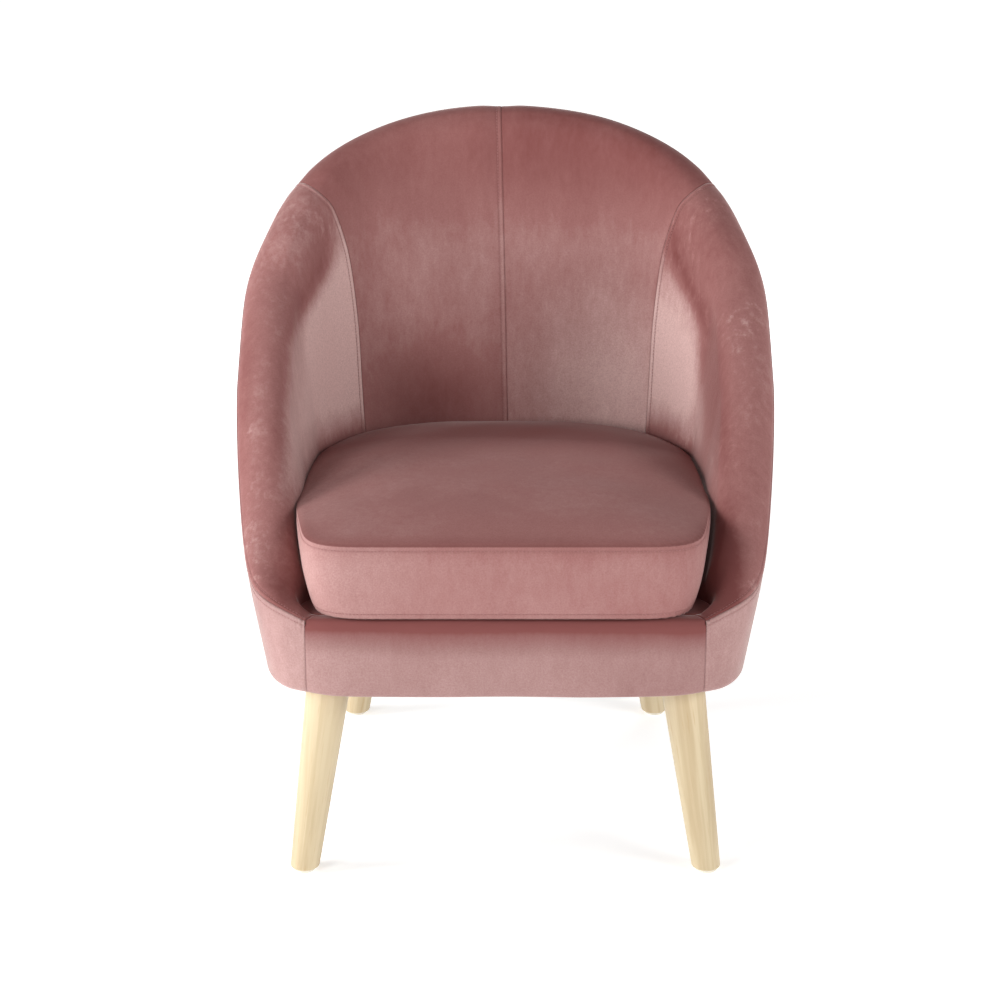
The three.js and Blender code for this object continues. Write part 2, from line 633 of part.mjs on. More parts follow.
function addBase() {
  const bores = LEGS.map((leg) => rod(leg, BORE_RADIUS, LEG_TOP, RAIL_TOP));
  const allBores = [...bores, ...bores.map(flip)];
  const outline = (depth) => {
    const spans = [frontSpan(0), cornerSpan(0, 0), armSpan(0, rearSeam), backSpan(rearSeam, 0)];
    const half = rows(spans, (share) => [place(BOARD_FOOT, share, depth, 0)]).flat();
    const other = half.slice(1, -1).reverse().map(mirror(-1));
    return [...half, ...other].map(({ x, y }) => new THREE.Vector2(x, y));
  };
  const inner = outline(RAIL_DEPTH + BASE_BOARD_WIDTH);
  const board = plate(outline(RAIL_DEPTH), [inner], BOARD_FOOT, BASE_BOARD_THICKNESS);
  add("base_board", bored(board, allBores), "plywood");

  const clothEdge = outline(TURN_UNDER_WIDTH - DUST_CLOTH_LAP_WIDTH);
  const cloth = plate(clothEdge, [], DUST_CLOTH_FOOT, DUST_CLOTH_THICKNESS);
  add("dust_cloth", bored(cloth, allBores), "lining");

  const rail = ringFaces(RAIL_FOOT, RAIL_HEIGHT, [RAIL_DEPTH, RAIL_DEPTH + RAIL_THICKNESS]);
  addAcross("front_rail", [frontSpan(FRONT_GAP_SHARE)], rail, "timber", true);
  addAcross("rear_rail", [backSpan(rearSeam, 0)], rail, "timber");
  addPair("side_rail", [cornerSpan(GAP_SHARE, 0), armSpan(0, rearSeam)], rail, "timber");

  const blockDepth = RAIL_DEPTH + RAIL_THICKNESS + BLOCK_CLEARANCE;
  const blockFaces = ringFaces(RAIL_FOOT, BLOCK_HEIGHT, [blockDepth, blockDepth + BLOCK_WIDTH]);
  LEGS.forEach((leg, i) => {
    const ends = [-1, 1].map((end) => fixed(leg.share + end * leg.blockSpan));
    const span = { from: ends[0], to: ends[1], count: 5 };
    const block = slab(...blockFaces.map((face) => rows([span], face)));
    const barrel = rod(leg, NUT_BARREL_RADIUS + BORE_CLEARANCE, BLOCK_TOP - NUT_BARREL_LENGTH, RAIL_TOP);
    const made = bored(block, [bores[i], barrel]);
    add(`corner_block_${leg.name}_right`, made, "timber");
    add(`corner_block_${leg.name}_left`, flip(made), "timber");
  });
}

// The turned legs with their fittings.

function legParts(leg) {
  const foot = GLIDE_THICKNESS + FIT_GAP;
  const boreFoot = LEG_TOP - BOLT_IN_LEG_LENGTH - BORE_CLEARANCE;
  const post = turned(leg, [
    [0, boreFoot],
    [BORE_RADIUS, boreFoot],
    [BORE_RADIUS, LEG_TOP],
    [LEG_TOP_RADIUS - LEG_EDGE_RADIUS / 2, LEG_TOP],
    [LEG_TOP_RADIUS, LEG_TOP - LEG_EDGE_RADIUS],
    [LEG_FOOT_RADIUS, foot + LEG_EDGE_RADIUS],
    [LEG_FOOT_RADIUS - LEG_EDGE_RADIUS / 3, foot + LEG_EDGE_RADIUS / 3],
    [LEG_FOOT_RADIUS - LEG_EDGE_RADIUS, foot],
    [0, foot],
  ]);
  const boltTop = BLOCK_TOP + BOLT_ABOVE_BLOCK_LENGTH;
  const boltRadius = BOLT_DIAMETER / 2;
  const bolt = rod(leg, boltRadius, LEG_TOP - BOLT_IN_LEG_LENGTH, boltTop);
  const threadRadius = boltRadius + BORE_CLEARANCE;
  const flangeFoot = BLOCK_TOP + FIT_GAP;
  const flangeTop = flangeFoot + NUT_FLANGE_THICKNESS;
  const nutBody = turned(leg, [
    [0, BLOCK_TOP - NUT_BARREL_LENGTH + FIT_GAP],
    [NUT_BARREL_RADIUS, BLOCK_TOP - NUT_BARREL_LENGTH + FIT_GAP],
    [NUT_BARREL_RADIUS, flangeFoot],
    [NUT_FLANGE_RADIUS, flangeFoot],
    [NUT_FLANGE_RADIUS, flangeTop],
    [0, flangeTop],
  ]);
  const nut = bored(nutBody, [rod(leg, threadRadius, LEG_TOP, boltTop)]);
  const glide = turned(leg, [
    [0, 0],
    [GLIDE_RADIUS - GLIDE_THICKNESS / 3, 0],
    [GLIDE_RADIUS, GLIDE_THICKNESS / 3],
    [GLIDE_RADIUS, GLIDE_THICKNESS],
    [0, GLIDE_THICKNESS],
  ]);
  return [
    ["leg", post, "leg"],
    ["glide", glide, "glide"],
    ["hanger_bolt", bolt, "steel"],
    ["tee_nut", nut, "steel"],
  ];
}

function addLegs() {
  for (const leg of LEGS)
    for (const [name, geometry, look] of legParts(leg))
      for (const [side, sign] of SIDES) {
        add(`${name}_${leg.name}_${side}`, sign > 0 ? geometry : flip(geometry), look);
      }
}

// Springs and deck.

function spring(frontShare, rearShare) {
  const depth = RAIL_DEPTH + RAIL_THICKNESS / 2;
  const from = place(RAIL_FOOT, frontShare, depth, SPRING_HEIGHT);
  const to = place(RAIL_FOOT, rearShare, depth, SPRING_HEIGHT);
  const across = new THREE.Vector3(to.y - from.y, from.x - to.x, 0).normalize();
  const wave = (share) => {
    const inner = (share - SPRING_END_SHARE) / (1 - 2 * SPRING_END_SHARE);
    if (inner <= 0 || inner >= 1) return 0;
    return (Math.sin(inner * SPRING_WAVES * 2 * Math.PI) * SPRING_WAVE_WIDTH) / 2;
  };
  const points = steps(0, 1, 4 * SPRING_WAVES + 6).map((share) =>
    from.clone().lerp(to, share).addScaledVector(across, wave(share)),
  );
  const wire = steps(0, 2 * Math.PI, SPRING_SIDES).slice(1).map((angle) =>
    new THREE.Vector2(Math.cos(angle), Math.sin(angle)).multiplyScalar(SPRING_WIRE_DIAMETER / 2),
  );
  return new THREE.ExtrudeGeometry(new THREE.Shape(wire), {
    steps: SPRING_SAMPLES,
    extrudePath: new THREE.CatmullRomCurve3(points),
    bevelEnabled: false,
  });
}

const deckOutline = () =>
  closedOutline((share) => {
    const column = insideColumn(share, 0);
    const depth = innerDepth(share, PAD_FOOT) + FIT_GAP;
    return column.map((point) => place(rim(share).shoulder, share, depth, point.z));
  });

function addSeatBase() {
  SPRING_FRONT_SHARES.forEach((frontShare, i) => {
    const name = ["middle", "outer"][i];
    const right = spring(frontShare, SPRING_REAR_SHARES[i]);
    add(`seat_spring_${name}_right`, right, "steel");
    const left = spring(-2 - frontShare, 2 - SPRING_REAR_SHARES[i]);
    add(`seat_spring_${name}_left`, left, "steel");
  });
  const clothFoot = DECK_HEIGHT - COVER_THICKNESS;
  add("deck_pad", plate(deckOutline(), [], PAD_FOOT, clothFoot - FIT_GAP - PAD_FOOT), "foam");
  add("deck_cloth", plate(deckOutline(), [], clothFoot, COVER_THICKNESS), "velvet");
}

// The loose cushion.

const CUSHION_FOOT = DECK_HEIGHT + FIT_GAP;
const BAND_TOP = DECK_HEIGHT + CUSHION_THICKNESS;
const BAND_FOOT = CUSHION_FOOT + CUSHION_UNDERCUT_HEIGHT;

// Half of the cushion's plan at a height, from the front centre to the rear centre: it follows the
// arms there, and its front corners stand further out by the flare
function cushionHalf(height, flare) {
  const front = CUSHION_FRONT_CLEARANCE - OVERALL_DEPTH / 2;
  const side = steps(CUSHION_SIDE_START_SHARE, 1, 14).map((share) => {
    const { shoulder } = rim(share);
    return place(shoulder, share, innerDepth(share, height) + CUSHION_CLEARANCE, 0);
  });
  const { shoulder } = rim(CUSHION_SIDE_START_SHARE);
  const foot = innerDepth(CUSHION_SIDE_START_SHARE, DECK_HEIGHT) + CUSHION_CLEARANCE;
  const widest = place(shoulder, CUSHION_SIDE_START_SHARE, foot, 0).x + flare;
  const centre = new THREE.Vector3(widest - CUSHION_CORNER_RADIUS, front + CUSHION_CORNER_RADIUS, 0);
  const corner = steps(-Math.PI / 2, 0, 4).map((angle) =>
    new THREE.Vector3(Math.cos(angle), Math.sin(angle), 0)
      .multiplyScalar(CUSHION_CORNER_RADIUS)
      .add(centre),
  );
  const edge = steps(0, centre.x, 4).slice(0, -1).map((x) => new THREE.Vector3(x, front, 0));
  return [...edge, ...corner, ...side];
}

const CUSHION_PLANS = [
  cushionHalf(DECK_HEIGHT, 0),
  cushionHalf(BAND_TOP, CUSHION_CORNER_FLARE_WIDTH),
].map((half) => {
  const plan = [...half, ...half.slice(1, -1).reverse().map(mirror(-1))];
  const normals = plan.map((_, i) => {
    const before = plan[(i + plan.length - 1) % plan.length];
    const after = plan[(i + 1) % plan.length];
    return new THREE.Vector3(after.y - before.y, before.x - after.x, 0).normalize();
  });
  return { plan, normals, count: half.length };
});
const CUSHION_MIDDLE = new THREE.Vector3(0, CENTRE_Y, 0);

function cushionRing(share, push, height) {
  const [foot, top] = CUSHION_PLANS;
  const rise = THREE.MathUtils.clamp((height - BAND_FOOT) / (BAND_TOP - BAND_FOOT), 0, 1);
  return foot.plan.map((point, i) => {
    const edge = point.clone().lerp(top.plan[i], rise).addScaledVector(foot.normals[i], push);
    return CUSHION_MIDDLE.clone().lerp(edge, share).setZ(height);
  });
}

const crownHeight = (share) => BAND_TOP + CUSHION_CROWN_HEIGHT * (1 - share ** CROWN_POWER);
const bellyHeight = (share) => CUSHION_FOOT + CUSHION_UNDERCUT_HEIGHT * share ** (4 * CROWN_POWER);

const topRings = (depth) =>
  [...CUSHION_RINGS, 1].map((share) => {
    const sink = share === 1 ? SEAM_SINK_DEPTH : 0;
    return cushionRing(share, share === 1 ? -depth : 0, crownHeight(share) - depth - sink);
  });
const bellyRings = (depth) => [
  ...CUSHION_RINGS.map((share) => cushionRing(share, 0, bellyHeight(share) + depth)),
  cushionRing(1, -depth, bellyHeight(1) + depth + SEAM_SINK_DEPTH),
];
const bandRings = (depth) =>
  steps(0, 1, BAND_STEPS).map((share) => {
    const belly = CUSHION_BULGE_DEPTH * Math.sin(Math.PI * share) - (share % 1 ? 0 : SEAM_SINK_DEPTH);
    const edge = SEAM_SINK_DEPTH + COVER_THICKNESS + FIT_GAP;
    const [low, high] = [BAND_FOOT + edge, BAND_TOP - edge];
    return cushionRing(1, belly - depth, mix(low, high, share));
  });

function disc(rings, centreHeights) {
  const ends = centreHeights.map((z) => CUSHION_MIDDLE.clone().setZ(z));
  return ringBody(ends[0], rings, ends[1]);
}

function addCushion() {
  const upper = [...topRings(0), ...topRings(COVER_THICKNESS).reverse()];
  const crown = crownHeight(0);
  add("cushion_top_panel", disc(upper, [crown, crown - COVER_THICKNESS]), "velvet");
  const lower = [...bellyRings(0), ...bellyRings(COVER_THICKNESS).reverse()];
  add("cushion_bottom_panel", disc(lower, [CUSHION_FOOT, CUSHION_FOOT + COVER_THICKNESS]), "velvet");

  const foamRings = [
    ...bellyRings(PADDING_DEPTH).slice(0, -1),
    ...bandRings(PADDING_DEPTH),
    ...topRings(PADDING_DEPTH).slice(0, -1).reverse(),
  ];
  add("cushion_foam", disc(foamRings, [CUSHION_FOOT + PADDING_DEPTH, crown - PADDING_DEPTH]), "foam");

  // The band runs from one end of the zip round the front to the other
  const { plan, count } = CUSHION_PLANS[0];
  const zipStart = Math.round(count * ZIP_START_SHARE);
  const turn = (rings, from, to) => {
    const columns = Array.from({ length: to - from + 1 }, (_, i) => (from + i) % plan.length);
    return columns.map((i) => rings.map((ring) => ring[i].clone()));
  };
  const strip = (from, to, nudge) => {
    const faces = [0, COVER_THICKNESS].map((depth) => turn(bandRings(depth), from, to));
    for (const face of faces) {
      for (const [end, next] of [[0, 1], [face.length - 1, face.length - 2]]) {
        face[end].forEach((point, j) => {
          const inward = face[next][j].clone().sub(point).normalize();
          point.addScaledVector(inward, nudge);
        });
      }
    }
    return slab(...faces);
  };
  const zipEnd = plan.length - zipStart;
  add("cushion_band", strip(zipEnd, plan.length + zipStart, FIT_GAP), "velvet");
  add("cushion_zip_panel", strip(zipStart, zipEnd, 0), "velvet");

  const at = zipStart + 1;
  const outward = CUSHION_PLANS[0].normals[at];
  const slider = new THREE.BoxGeometry(SLIDER_LENGTH, SLIDER_THICKNESS, SLIDER_WIDTH);
  slider.rotateZ(Math.atan2(outward.y, outward.x) - Math.PI / 2);
  const stand = CUSHION_BULGE_DEPTH + FIT_GAP + SLIDER_THICKNESS / 2;
  const middle = plan[at].clone().lerp(CUSHION_PLANS[1].plan[at], 1 / 2);
  middle.addScaledVector(outward, stand);
  slider.translate(middle.x, middle.y, mix(BAND_FOOT, BAND_TOP, 1 / 2));
  add("cushion_zip_slider", slider, "steel");
}

addCovers();
addWall();
addFrontFoam();
addBase();
addLegs();
addSeatBase();
addCushion();

export default chair;
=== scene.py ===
# %% [markdown]
# # A round-back tub armchair in dusty rose velvet
# The chair is an upholstered shell on four turned legs, with one loose seat cushion. The packed
# model gives the place and size of every piece. This lesson dresses it: each cover is shaped as it
# lies over its padding, sewn edges and stitches are added, and the finishes are mixed. Lengths are
# metres, +Z is up and the front of the chair faces -Y.

import json
import math

import bmesh
import bpy
import numpy as np
from mathutils import Matrix, Vector


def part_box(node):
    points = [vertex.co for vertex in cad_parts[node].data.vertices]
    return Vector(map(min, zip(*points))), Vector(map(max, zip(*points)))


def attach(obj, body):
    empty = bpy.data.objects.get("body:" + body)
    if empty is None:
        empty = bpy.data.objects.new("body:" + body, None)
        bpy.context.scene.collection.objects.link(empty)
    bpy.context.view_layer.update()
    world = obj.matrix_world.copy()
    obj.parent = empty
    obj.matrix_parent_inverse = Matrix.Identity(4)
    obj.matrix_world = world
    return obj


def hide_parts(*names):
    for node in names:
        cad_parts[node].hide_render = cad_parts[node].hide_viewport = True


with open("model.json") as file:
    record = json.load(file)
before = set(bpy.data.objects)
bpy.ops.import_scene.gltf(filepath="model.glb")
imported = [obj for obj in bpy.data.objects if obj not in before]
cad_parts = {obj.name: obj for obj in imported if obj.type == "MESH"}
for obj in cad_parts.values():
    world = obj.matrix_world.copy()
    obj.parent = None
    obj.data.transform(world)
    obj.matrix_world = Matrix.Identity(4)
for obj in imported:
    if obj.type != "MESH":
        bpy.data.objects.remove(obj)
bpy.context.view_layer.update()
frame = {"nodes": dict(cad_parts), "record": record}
nodes = frame["nodes"]

# %% [markdown]
# ## Camera
# The photograph looks down on the chair at almost eighteen degrees, from the eye height of someone
# who sits and from nearly three metres away. Those figures come from matching the rim, seams and
# legs of the model with the picture, so the camera is set by numbers and not by eye. The chair
# stands a little to the right of the middle of the picture, and a very small lens shift does that.

# %% Set up the camera
CAMERA_PLACE = (0.0, -2.7661, 1.2575)
CAMERA_PITCH_DEGREES = 17.6946
FOCAL_PIXELS = 2336.5
PICTURE_PIXELS = 1000
CENTRE_PIXEL = 505.5
SENSOR_MM = 36.0

lens = bpy.data.cameras.new("camera")
lens.sensor_width = SENSOR_MM
lens.lens = FOCAL_PIXELS / PICTURE_PIXELS * SENSOR_MM
lens.shift_x = (PICTURE_PIXELS / 2 - CENTRE_PIXEL) / PICTURE_PIXELS
camera = bpy.data.objects.new("camera", lens)
camera.location = CAMERA_PLACE
camera.rotation_euler = (math.radians(90 - CAMERA_PITCH_DEGREES), 0, 0)
bpy.context.scene.collection.objects.link(camera)
bpy.context.scene.camera = camera
print("focal length", round(lens.lens, 1), "mm")

# %% [markdown]
# ## Studio
# Furniture like this is photographed on a white sweep with large soft lamps. One stands in front
# to the left, a little stronger than the one to the right, so the right inside of the tub is lit
# and the left one lies in shade. Another lights the left outside, and weaker ones hang above and
# behind. The room is white to the camera but gives only a little light, so that the folds keep
# their shadows. The plain view transform keeps white paper white.

# %% Light the studio
LAMPS = {
    "main_lamp": {"place": (-2.1, -2.5, 1.35), "size": 1.1, "power": 48},
    "fill_lamp": {"place": (2.5, -1.5, 1.35), "size": 1.4, "power": 44},
    "left_lamp": {"place": (-2.8, -0.5, 1.3), "size": 1.2, "power": 66},
    "top_lamp": {"place": (0.0, 0.6, 3.0), "size": 2.2, "power": 6},
    "back_lamp": {"place": (0.8, 3.0, 1.9), "size": 2.2, "power": 26},
}
AIM = Vector((0, 0, 0.42))

for name, lamp in LAMPS.items():
    light = bpy.data.lights.new(name, "AREA")
    light.energy = lamp["power"]
    light.size = lamp["size"]
    holder = bpy.data.objects.new(name, light)
    holder.location = lamp["place"]
    holder.rotation_euler = (AIM - holder.location).to_track_quat("-Z", "Y").to_euler()
    bpy.context.scene.collection.objects.link(holder)

SEEN_STRENGTH, ROOM_STRENGTH = 1.05, 0.18
room = bpy.data.worlds.new("white_room")
room.use_nodes = True
seen = room.node_tree.nodes.new("ShaderNodeLightPath")
strength = room.node_tree.nodes.new("ShaderNodeMapRange")
strength.inputs["To Min"].default_value = ROOM_STRENGTH
strength.inputs["To Max"].default_value = SEEN_STRENGTH
backdrop = room.node_tree.nodes["Background"].inputs
backdrop["Color"].default_value = (1.0, 1.0, 1.0, 1.0)
room.node_tree.links.new(seen.outputs["Is Camera Ray"], strength.inputs["Value"])
room.node_tree.links.new(strength.outputs["Result"], backdrop["Strength"])
bpy.context.scene.world = room
bpy.context.scene.view_settings.view_transform = "Standard"
print(len(LAMPS), "lamps and a white room")

# %% [markdown]
# ## Shader maths
# A finish is a small formula: a base tone, plus a bit of this noise, times that mask. Blender
# writes such formulas as Math nodes. One class wraps a socket and turns +, -, * and so on into
# those nodes, and another adds any other node with its settings and inputs in one call.

# %% A socket that can be used in a formula
class Signal:
    """The output of a shader node, which can be added, multiplied and compared."""

    def __init__(self, finish, socket):
        self.finish, self.socket = finish, socket

    def maths(self, operation, *others, clamp=False):
        made = self.finish.tree.nodes.new("ShaderNodeMath")
        made.operation, made.use_clamp = operation, clamp
        for slot, value in zip(made.inputs, (self, *others)):
            self.finish.feed(slot, value)
        return Signal(self.finish, made.outputs[0])

    def __add__(self, other):
        return self.maths("ADD", other)

    __radd__ = __add__

    def __sub__(self, other):
        return self.maths("SUBTRACT", other)

    def __rsub__(self, other):
        return self.maths("MULTIPLY", -1.0) + other

    def __mul__(self, other):
        return self.maths("MULTIPLY", other)

    __rmul__ = __mul__

    def clamped(self):
        return self.maths("ADD", 0.0, clamp=True)

    def steps(self, low, high):
        """0 below low, 1 above high and smooth between."""
        made = self.finish.tree.nodes.new("ShaderNodeMapRange")
        made.interpolation_type = "SMOOTHSTEP"
        for name, value in (("Value", self), ("From Min", low), ("From Max", high)):
            self.finish.feed(made.inputs[name], value)
        return Signal(self.finish, made.outputs["Result"])


class Finish:
    """A material with one Principled shader, and short ways to add nodes to it."""

    def __init__(self, name, **constants):
        self.material = bpy.data.materials.new(name)
        self.material.use_nodes = True
        self.tree = self.material.node_tree
        self.shader = self.tree.nodes["Principled BSDF"]
        for socket, value in constants.items():
            self.shader.inputs[socket.replace("_", " ")].default_value = value

    def feed(self, socket, value):
        if isinstance(value, Signal):
            self.tree.links.new(value.socket, socket)
        elif isinstance(value, (tuple, list)) and len(value) == 3 and socket.type == "RGBA":
            socket.default_value = (*value, 1.0)
        else:
            socket.default_value = value

    def node(self, kind, output=0, settings=(), **inputs):
        made = self.tree.nodes.new("ShaderNode" + kind)
        for name, value in dict(settings).items():
            setattr(made, name, value)
        for name, value in inputs.items():
            self.feed(made.inputs[name.replace("_", " ")], value)
        return Signal(self, made.outputs[output])

    def coordinates(self, stretch=(1, 1, 1)):
        place = self.node("TexCoord", output="Object")
        return self.node("Mapping", Vector=place, Scale=stretch)

    def attribute(self, name, output="Vector"):
        return self.node("Attribute", output=output, settings={"attribute_name": name})

    def noise(self, where, scale, detail=2.0, roughness=0.5, distortion=0.0):
        return self.node(
            "TexNoise", Vector=where, Scale=scale, Detail=detail, Roughness=roughness,
            Distortion=distortion,
        )

    def blend(self, factor, first, second):
        """The first colour at 0, the second at 1 and a mixture between."""
        made = self.tree.nodes.new("ShaderNodeMix")
        made.data_type = "RGBA"
        colours = [slot for slot in made.inputs if slot.type == "RGBA"]
        self.feed(made.inputs["Factor"], factor)
        self.feed(colours[0], first)
        self.feed(colours[1], second)
        return Signal(self, next(out for out in made.outputs if out.type == "RGBA"))

    def bump(self, height, distance, strength=1.0):
        normal = self.node("Bump", Height=height, Distance=distance, Strength=strength)
        self.tree.links.new(normal.socket, self.shader.inputs["Normal"])

    def set(self, socket, value):
        self.feed(self.shader.inputs[socket], value)


print("finishes can now be written as formulas")

# %% [markdown]
# ## Velvet
# Velvet is a short dense pile. It looks darker where you look straight into it and lighter at
# glancing angles, which is what sheen does. Its pile also lies in patches: stroked one way it is
# pale, the other way deep, so the cloth carries soft streaks down the back, clouds on the wide
# panels and small crushed flecks where hands and boxes have pressed it. The base is a rose tone,
# made greyer for the outside and the rail, partly as painted sheen. Noises at several sizes lean it
# towards a pale and a deep tone. A number at every point of each panel leans it too, and that is
# mostly painted light and shade; the seams are drawn dark as painted shade. The pile itself is a
# fine bump of about half a millimetre.

# %% Mix the velvet
ROSE = (0.330, 0.152, 0.143)
PALE_ROSE = (0.70, 0.485, 0.457)
GREY_ROSE = (0.330, 0.188, 0.178)
DEEP_ROSE = (0.195, 0.062, 0.058)
SEAM_SHADE_ROSE = (0.085, 0.022, 0.020)
SHEEN_TINT = (1.0, 0.86, 0.83, 1.0)
CLOUD_SCALE, CRUSH_SCALE, STREAK_SCALE, FLECK_SCALE, BRUSH_SCALE = 6.5, 9.0, 26.0, 90.0, 120.0
TUFT_SCALE, GRAIN_SCALE, PILE_SCALE = 210.0, 520.0, 1500.0
LIGHT_GAIN, LIGHT_SHARE, DEEP_GAIN, GRAIN_GAIN, GRAIN_DEPTH = 1.2, 0.75, 1.6, 0.9, 0.15
PILE_DEPTH = 0.0006


def velvet(name, pale, streaks, clouds, flecks=0.0, brush=0.3, sheen=0.5, base=ROSE):
    """Rose velvet. The shares say how much of each mark the pile shows; pale is partly painted
    light.
    """
    cloth = Finish(name, Sheen_Weight=sheen, Sheen_Roughness=0.30, Sheen_Tint=SHEEN_TINT,
                   Specular_IOR_Level=0.15)
    where = cloth.coordinates()
    cloud = cloth.noise(where, CLOUD_SCALE, detail=3.0, roughness=0.55, distortion=0.4)
    streak = cloth.noise(cloth.coordinates((1, 1, 0.16)), STREAK_SCALE, detail=3.0, roughness=0.6)
    brushed = cloth.noise(cloth.coordinates((1, 1, 0.45)), BRUSH_SCALE, detail=3.0, roughness=0.65)
    fleck = cloth.noise(cloth.coordinates((1, 1, 0.6)), FLECK_SCALE, detail=4.0, roughness=0.7)
    crushed = cloth.noise(where, CRUSH_SCALE, detail=1.0).steps(0.50, 0.66)
    lean = (cloud - 0.5) * clouds + (streak - 0.5) * streaks + (brushed - 0.5) * brush
    lean = lean + fleck.steps(0.45, 0.85) * crushed * flecks
    # Each panel's own number at every point: mostly painted light and shade, with some lean of the
    # pile.
    lean = lean + cloth.attribute("nap", output="Fac")
    light = (lean * LIGHT_GAIN + pale * LIGHT_SHARE).clamped()
    deep = (lean * -DEEP_GAIN - pale).clamped()
    colour = cloth.blend(light, base, PALE_ROSE)
    colour = cloth.blend(deep, colour, DEEP_ROSE)
    grain = cloth.noise(where, GRAIN_SCALE, detail=3.0, roughness=0.7)
    colour = cloth.blend((grain - 0.5) * GRAIN_GAIN + GRAIN_DEPTH, colour, DEEP_ROSE)
    # Painted shade in the seams and along the rows of topstitching.
    colour = cloth.blend(cloth.attribute("crease", output="Fac"), colour, SEAM_SHADE_ROSE)
    cloth.set("Base Color", colour)
    cloth.set("Roughness", 0.78 + 0.16 * cloud)
    pile = cloth.noise(where, PILE_SCALE, detail=2.0, roughness=0.7)
    tufts = cloth.noise(where, TUFT_SCALE, detail=2.0, roughness=0.6)
    cloth.bump(pile * 0.35 + tufts * 0.65, distance=PILE_DEPTH, strength=0.35)
    return cloth.material


# Each piece has its own pale share and base: partly how its pile lies, partly painted light, as
# faces turned to the lamps are mixed paler and greyer.
back_velvet = velvet("velvet_back", pale=0.18, streaks=0.30, clouds=0.4)
arm_velvet = velvet("velvet_arms", pale=-0.06, streaks=0.3, clouds=0.5, flecks=0.5, brush=0.5,
                    sheen=0.8)
shell_velvet = velvet("velvet_shell", pale=0.12, streaks=0.25, clouds=0.4, sheen=1.0,
                      base=GREY_ROSE)
rail_velvet = velvet("velvet_rail", pale=0.20, streaks=0.1, clouds=0.35, brush=0.2,
                     base=GREY_ROSE)
cushion_velvet = velvet("velvet_cushion", pale=0.07, streaks=0.08, clouds=0.35, brush=0.2,
                        sheen=0.18)
print("five pieces of one velvet, each stroked its own way")

# %% [markdown]
# ## The shape of the tub
# Every cover lies on one flowing surface. Seen from above, the tub is boxy in front and round
# behind, and it widens as it rises. Its rim climbs from the deck at the front to the crown of the
# back and is rolled over a padded edge. The same rules as in the solid model are repeated here in
# fine steps, so that the covers sit exactly on the padding. A place on the surface is named by its
# share round the side: -1 at the front centre, 0 at the front seam, 1 at the back.

# %% Sizes of the tub
OVERALL_HEIGHT, OVERALL_WIDTH, OVERALL_DEPTH = 0.823, 0.649, 0.605
BASE_HEIGHT, DECK_HEIGHT, WIDEST_HEIGHT = 0.235, 0.326, 0.525
BASE_WIDTH, FRONT_DEPTH, BACK_LEAN, FRONT_SEAM_X = 0.563, 0.270, 0.024, 0.227
CENTRE_Y = FRONT_DEPTH - OVERALL_DEPTH / 2
BACK_DEPTH = OVERALL_DEPTH - FRONT_DEPTH
WIDTH_POWERS, DEPTH_POWERS = (7, 3), (5.4, 2.49)
POWER_BLEND_START, FLARE_POWER, CORNER_SAMPLE_POWER = -0.5, 1.35, 3
RIM_RISE_SHARES = [0, 0.073, 0.196, 0.344, 0.5, 0.652, 0.79, 0.887, 0.949, 0.988, 1]
RIM_THICKNESS, RIM_FRONT_THICKNESS, RIM_TAPER_SHARE = 0.062, 0.024, 0.13
ROLL_RADIUS, ROLL_FRONT_RADIUS, ROLL_GROWTH_SHARE = 0.031, 0.009, 0.28
ROLL_FRONT_SQUARENESS, ROLL_ROUND_SHARE = 0.65, 0.2
INNER_ROLL_FRONT_RADIUS, INNER_ROLL_GROWTH_SHARE = 0.005, 0.8
ARM_SWELL, LUMBAR_SWELL, LUMBAR_START_SHARE, SWELL_START_SHARE = 0.032, 0.050, 0.4, 0.3
BOTTOM_EDGE_RADIUS, TURN_UNDER = 0.009, 0.034
RIM_SEAM_RISE_ANGLE, RIM_SEAM_FALL_SHARE = math.pi / 4, 0.12
BACK_SEAM_RIM_SHARE = 0.655
SEAM_WAYS = [0, 0.2, 0.46, 0.6, 0.75, 0.97, 1.06, 1.13, 1.2, 1.28, 1.43, 1.64, 1.8, 2]
SEAM_SHARES = [
    BACK_SEAM_RIM_SHARE, 0.652, 0.638, 0.634, 0.6345, 0.647, 0.664, 0.679, 0.687, 0.6925,
    0.6965, 0.690, 0.687, 0.687,
]
PAD_FOOT = 0.3041
print("tub of", OVERALL_WIDTH, "by", OVERALL_DEPTH, "by", OVERALL_HEIGHT, "m")

# %% Small rules that shape everything
def smooth(share):
    """0 up to 0, 1 from 1 on and an even S between."""
    share = np.clip(share, 0, 1)
    return share * share * (3 - 2 * share)


def past(value, start, reach):
    """0 before a place and 1 a reach after it, with an even S between. A reach may be negative."""
    return smooth((value - start) / reach)


def mix(low, high, share):
    """The value at a share of the way from low to high."""
    return low + (high - low) * share


def bell(distance, width):
    """1 at no distance, falling softly to 0 over a few widths."""
    return np.exp(-((distance / width) ** 2))


def curve_through(a, b, c, d, share):
    """The place at a share of the way from b to c, on a smooth curve that also heeds a and d."""
    cubic = 2 * a - 5 * b + 4 * c - d + share * (3 * (b - c) + d - a)
    return b + 0.5 * share * (c - a + share * cubic)


def run_along(line):
    """How far along an open line each of its points lies."""
    return np.concatenate([[0], np.linalg.norm(np.diff(line, axis=0), axis=1).cumsum()])


def run_round(loop):
    """How far round a closed line each point lies; the last value is the whole length."""
    return np.linalg.norm(loop - np.roll(loop, 1, axis=0), axis=1).cumsum()


def at_run(stops, run, points):
    """The places at given distances along a line of points."""
    return np.stack([np.interp(stops, run, points[:, k]) for k in range(3)], -1)


def calmed(loops, passes, axis=0):
    """Closed lines with their unevenness averaged away."""
    for _ in range(passes):
        loops = loops / 2 + (np.roll(loops, 1, axis) + np.roll(loops, -1, axis)) / 4
    return loops


print("halfway along an even S:", smooth(0.5))

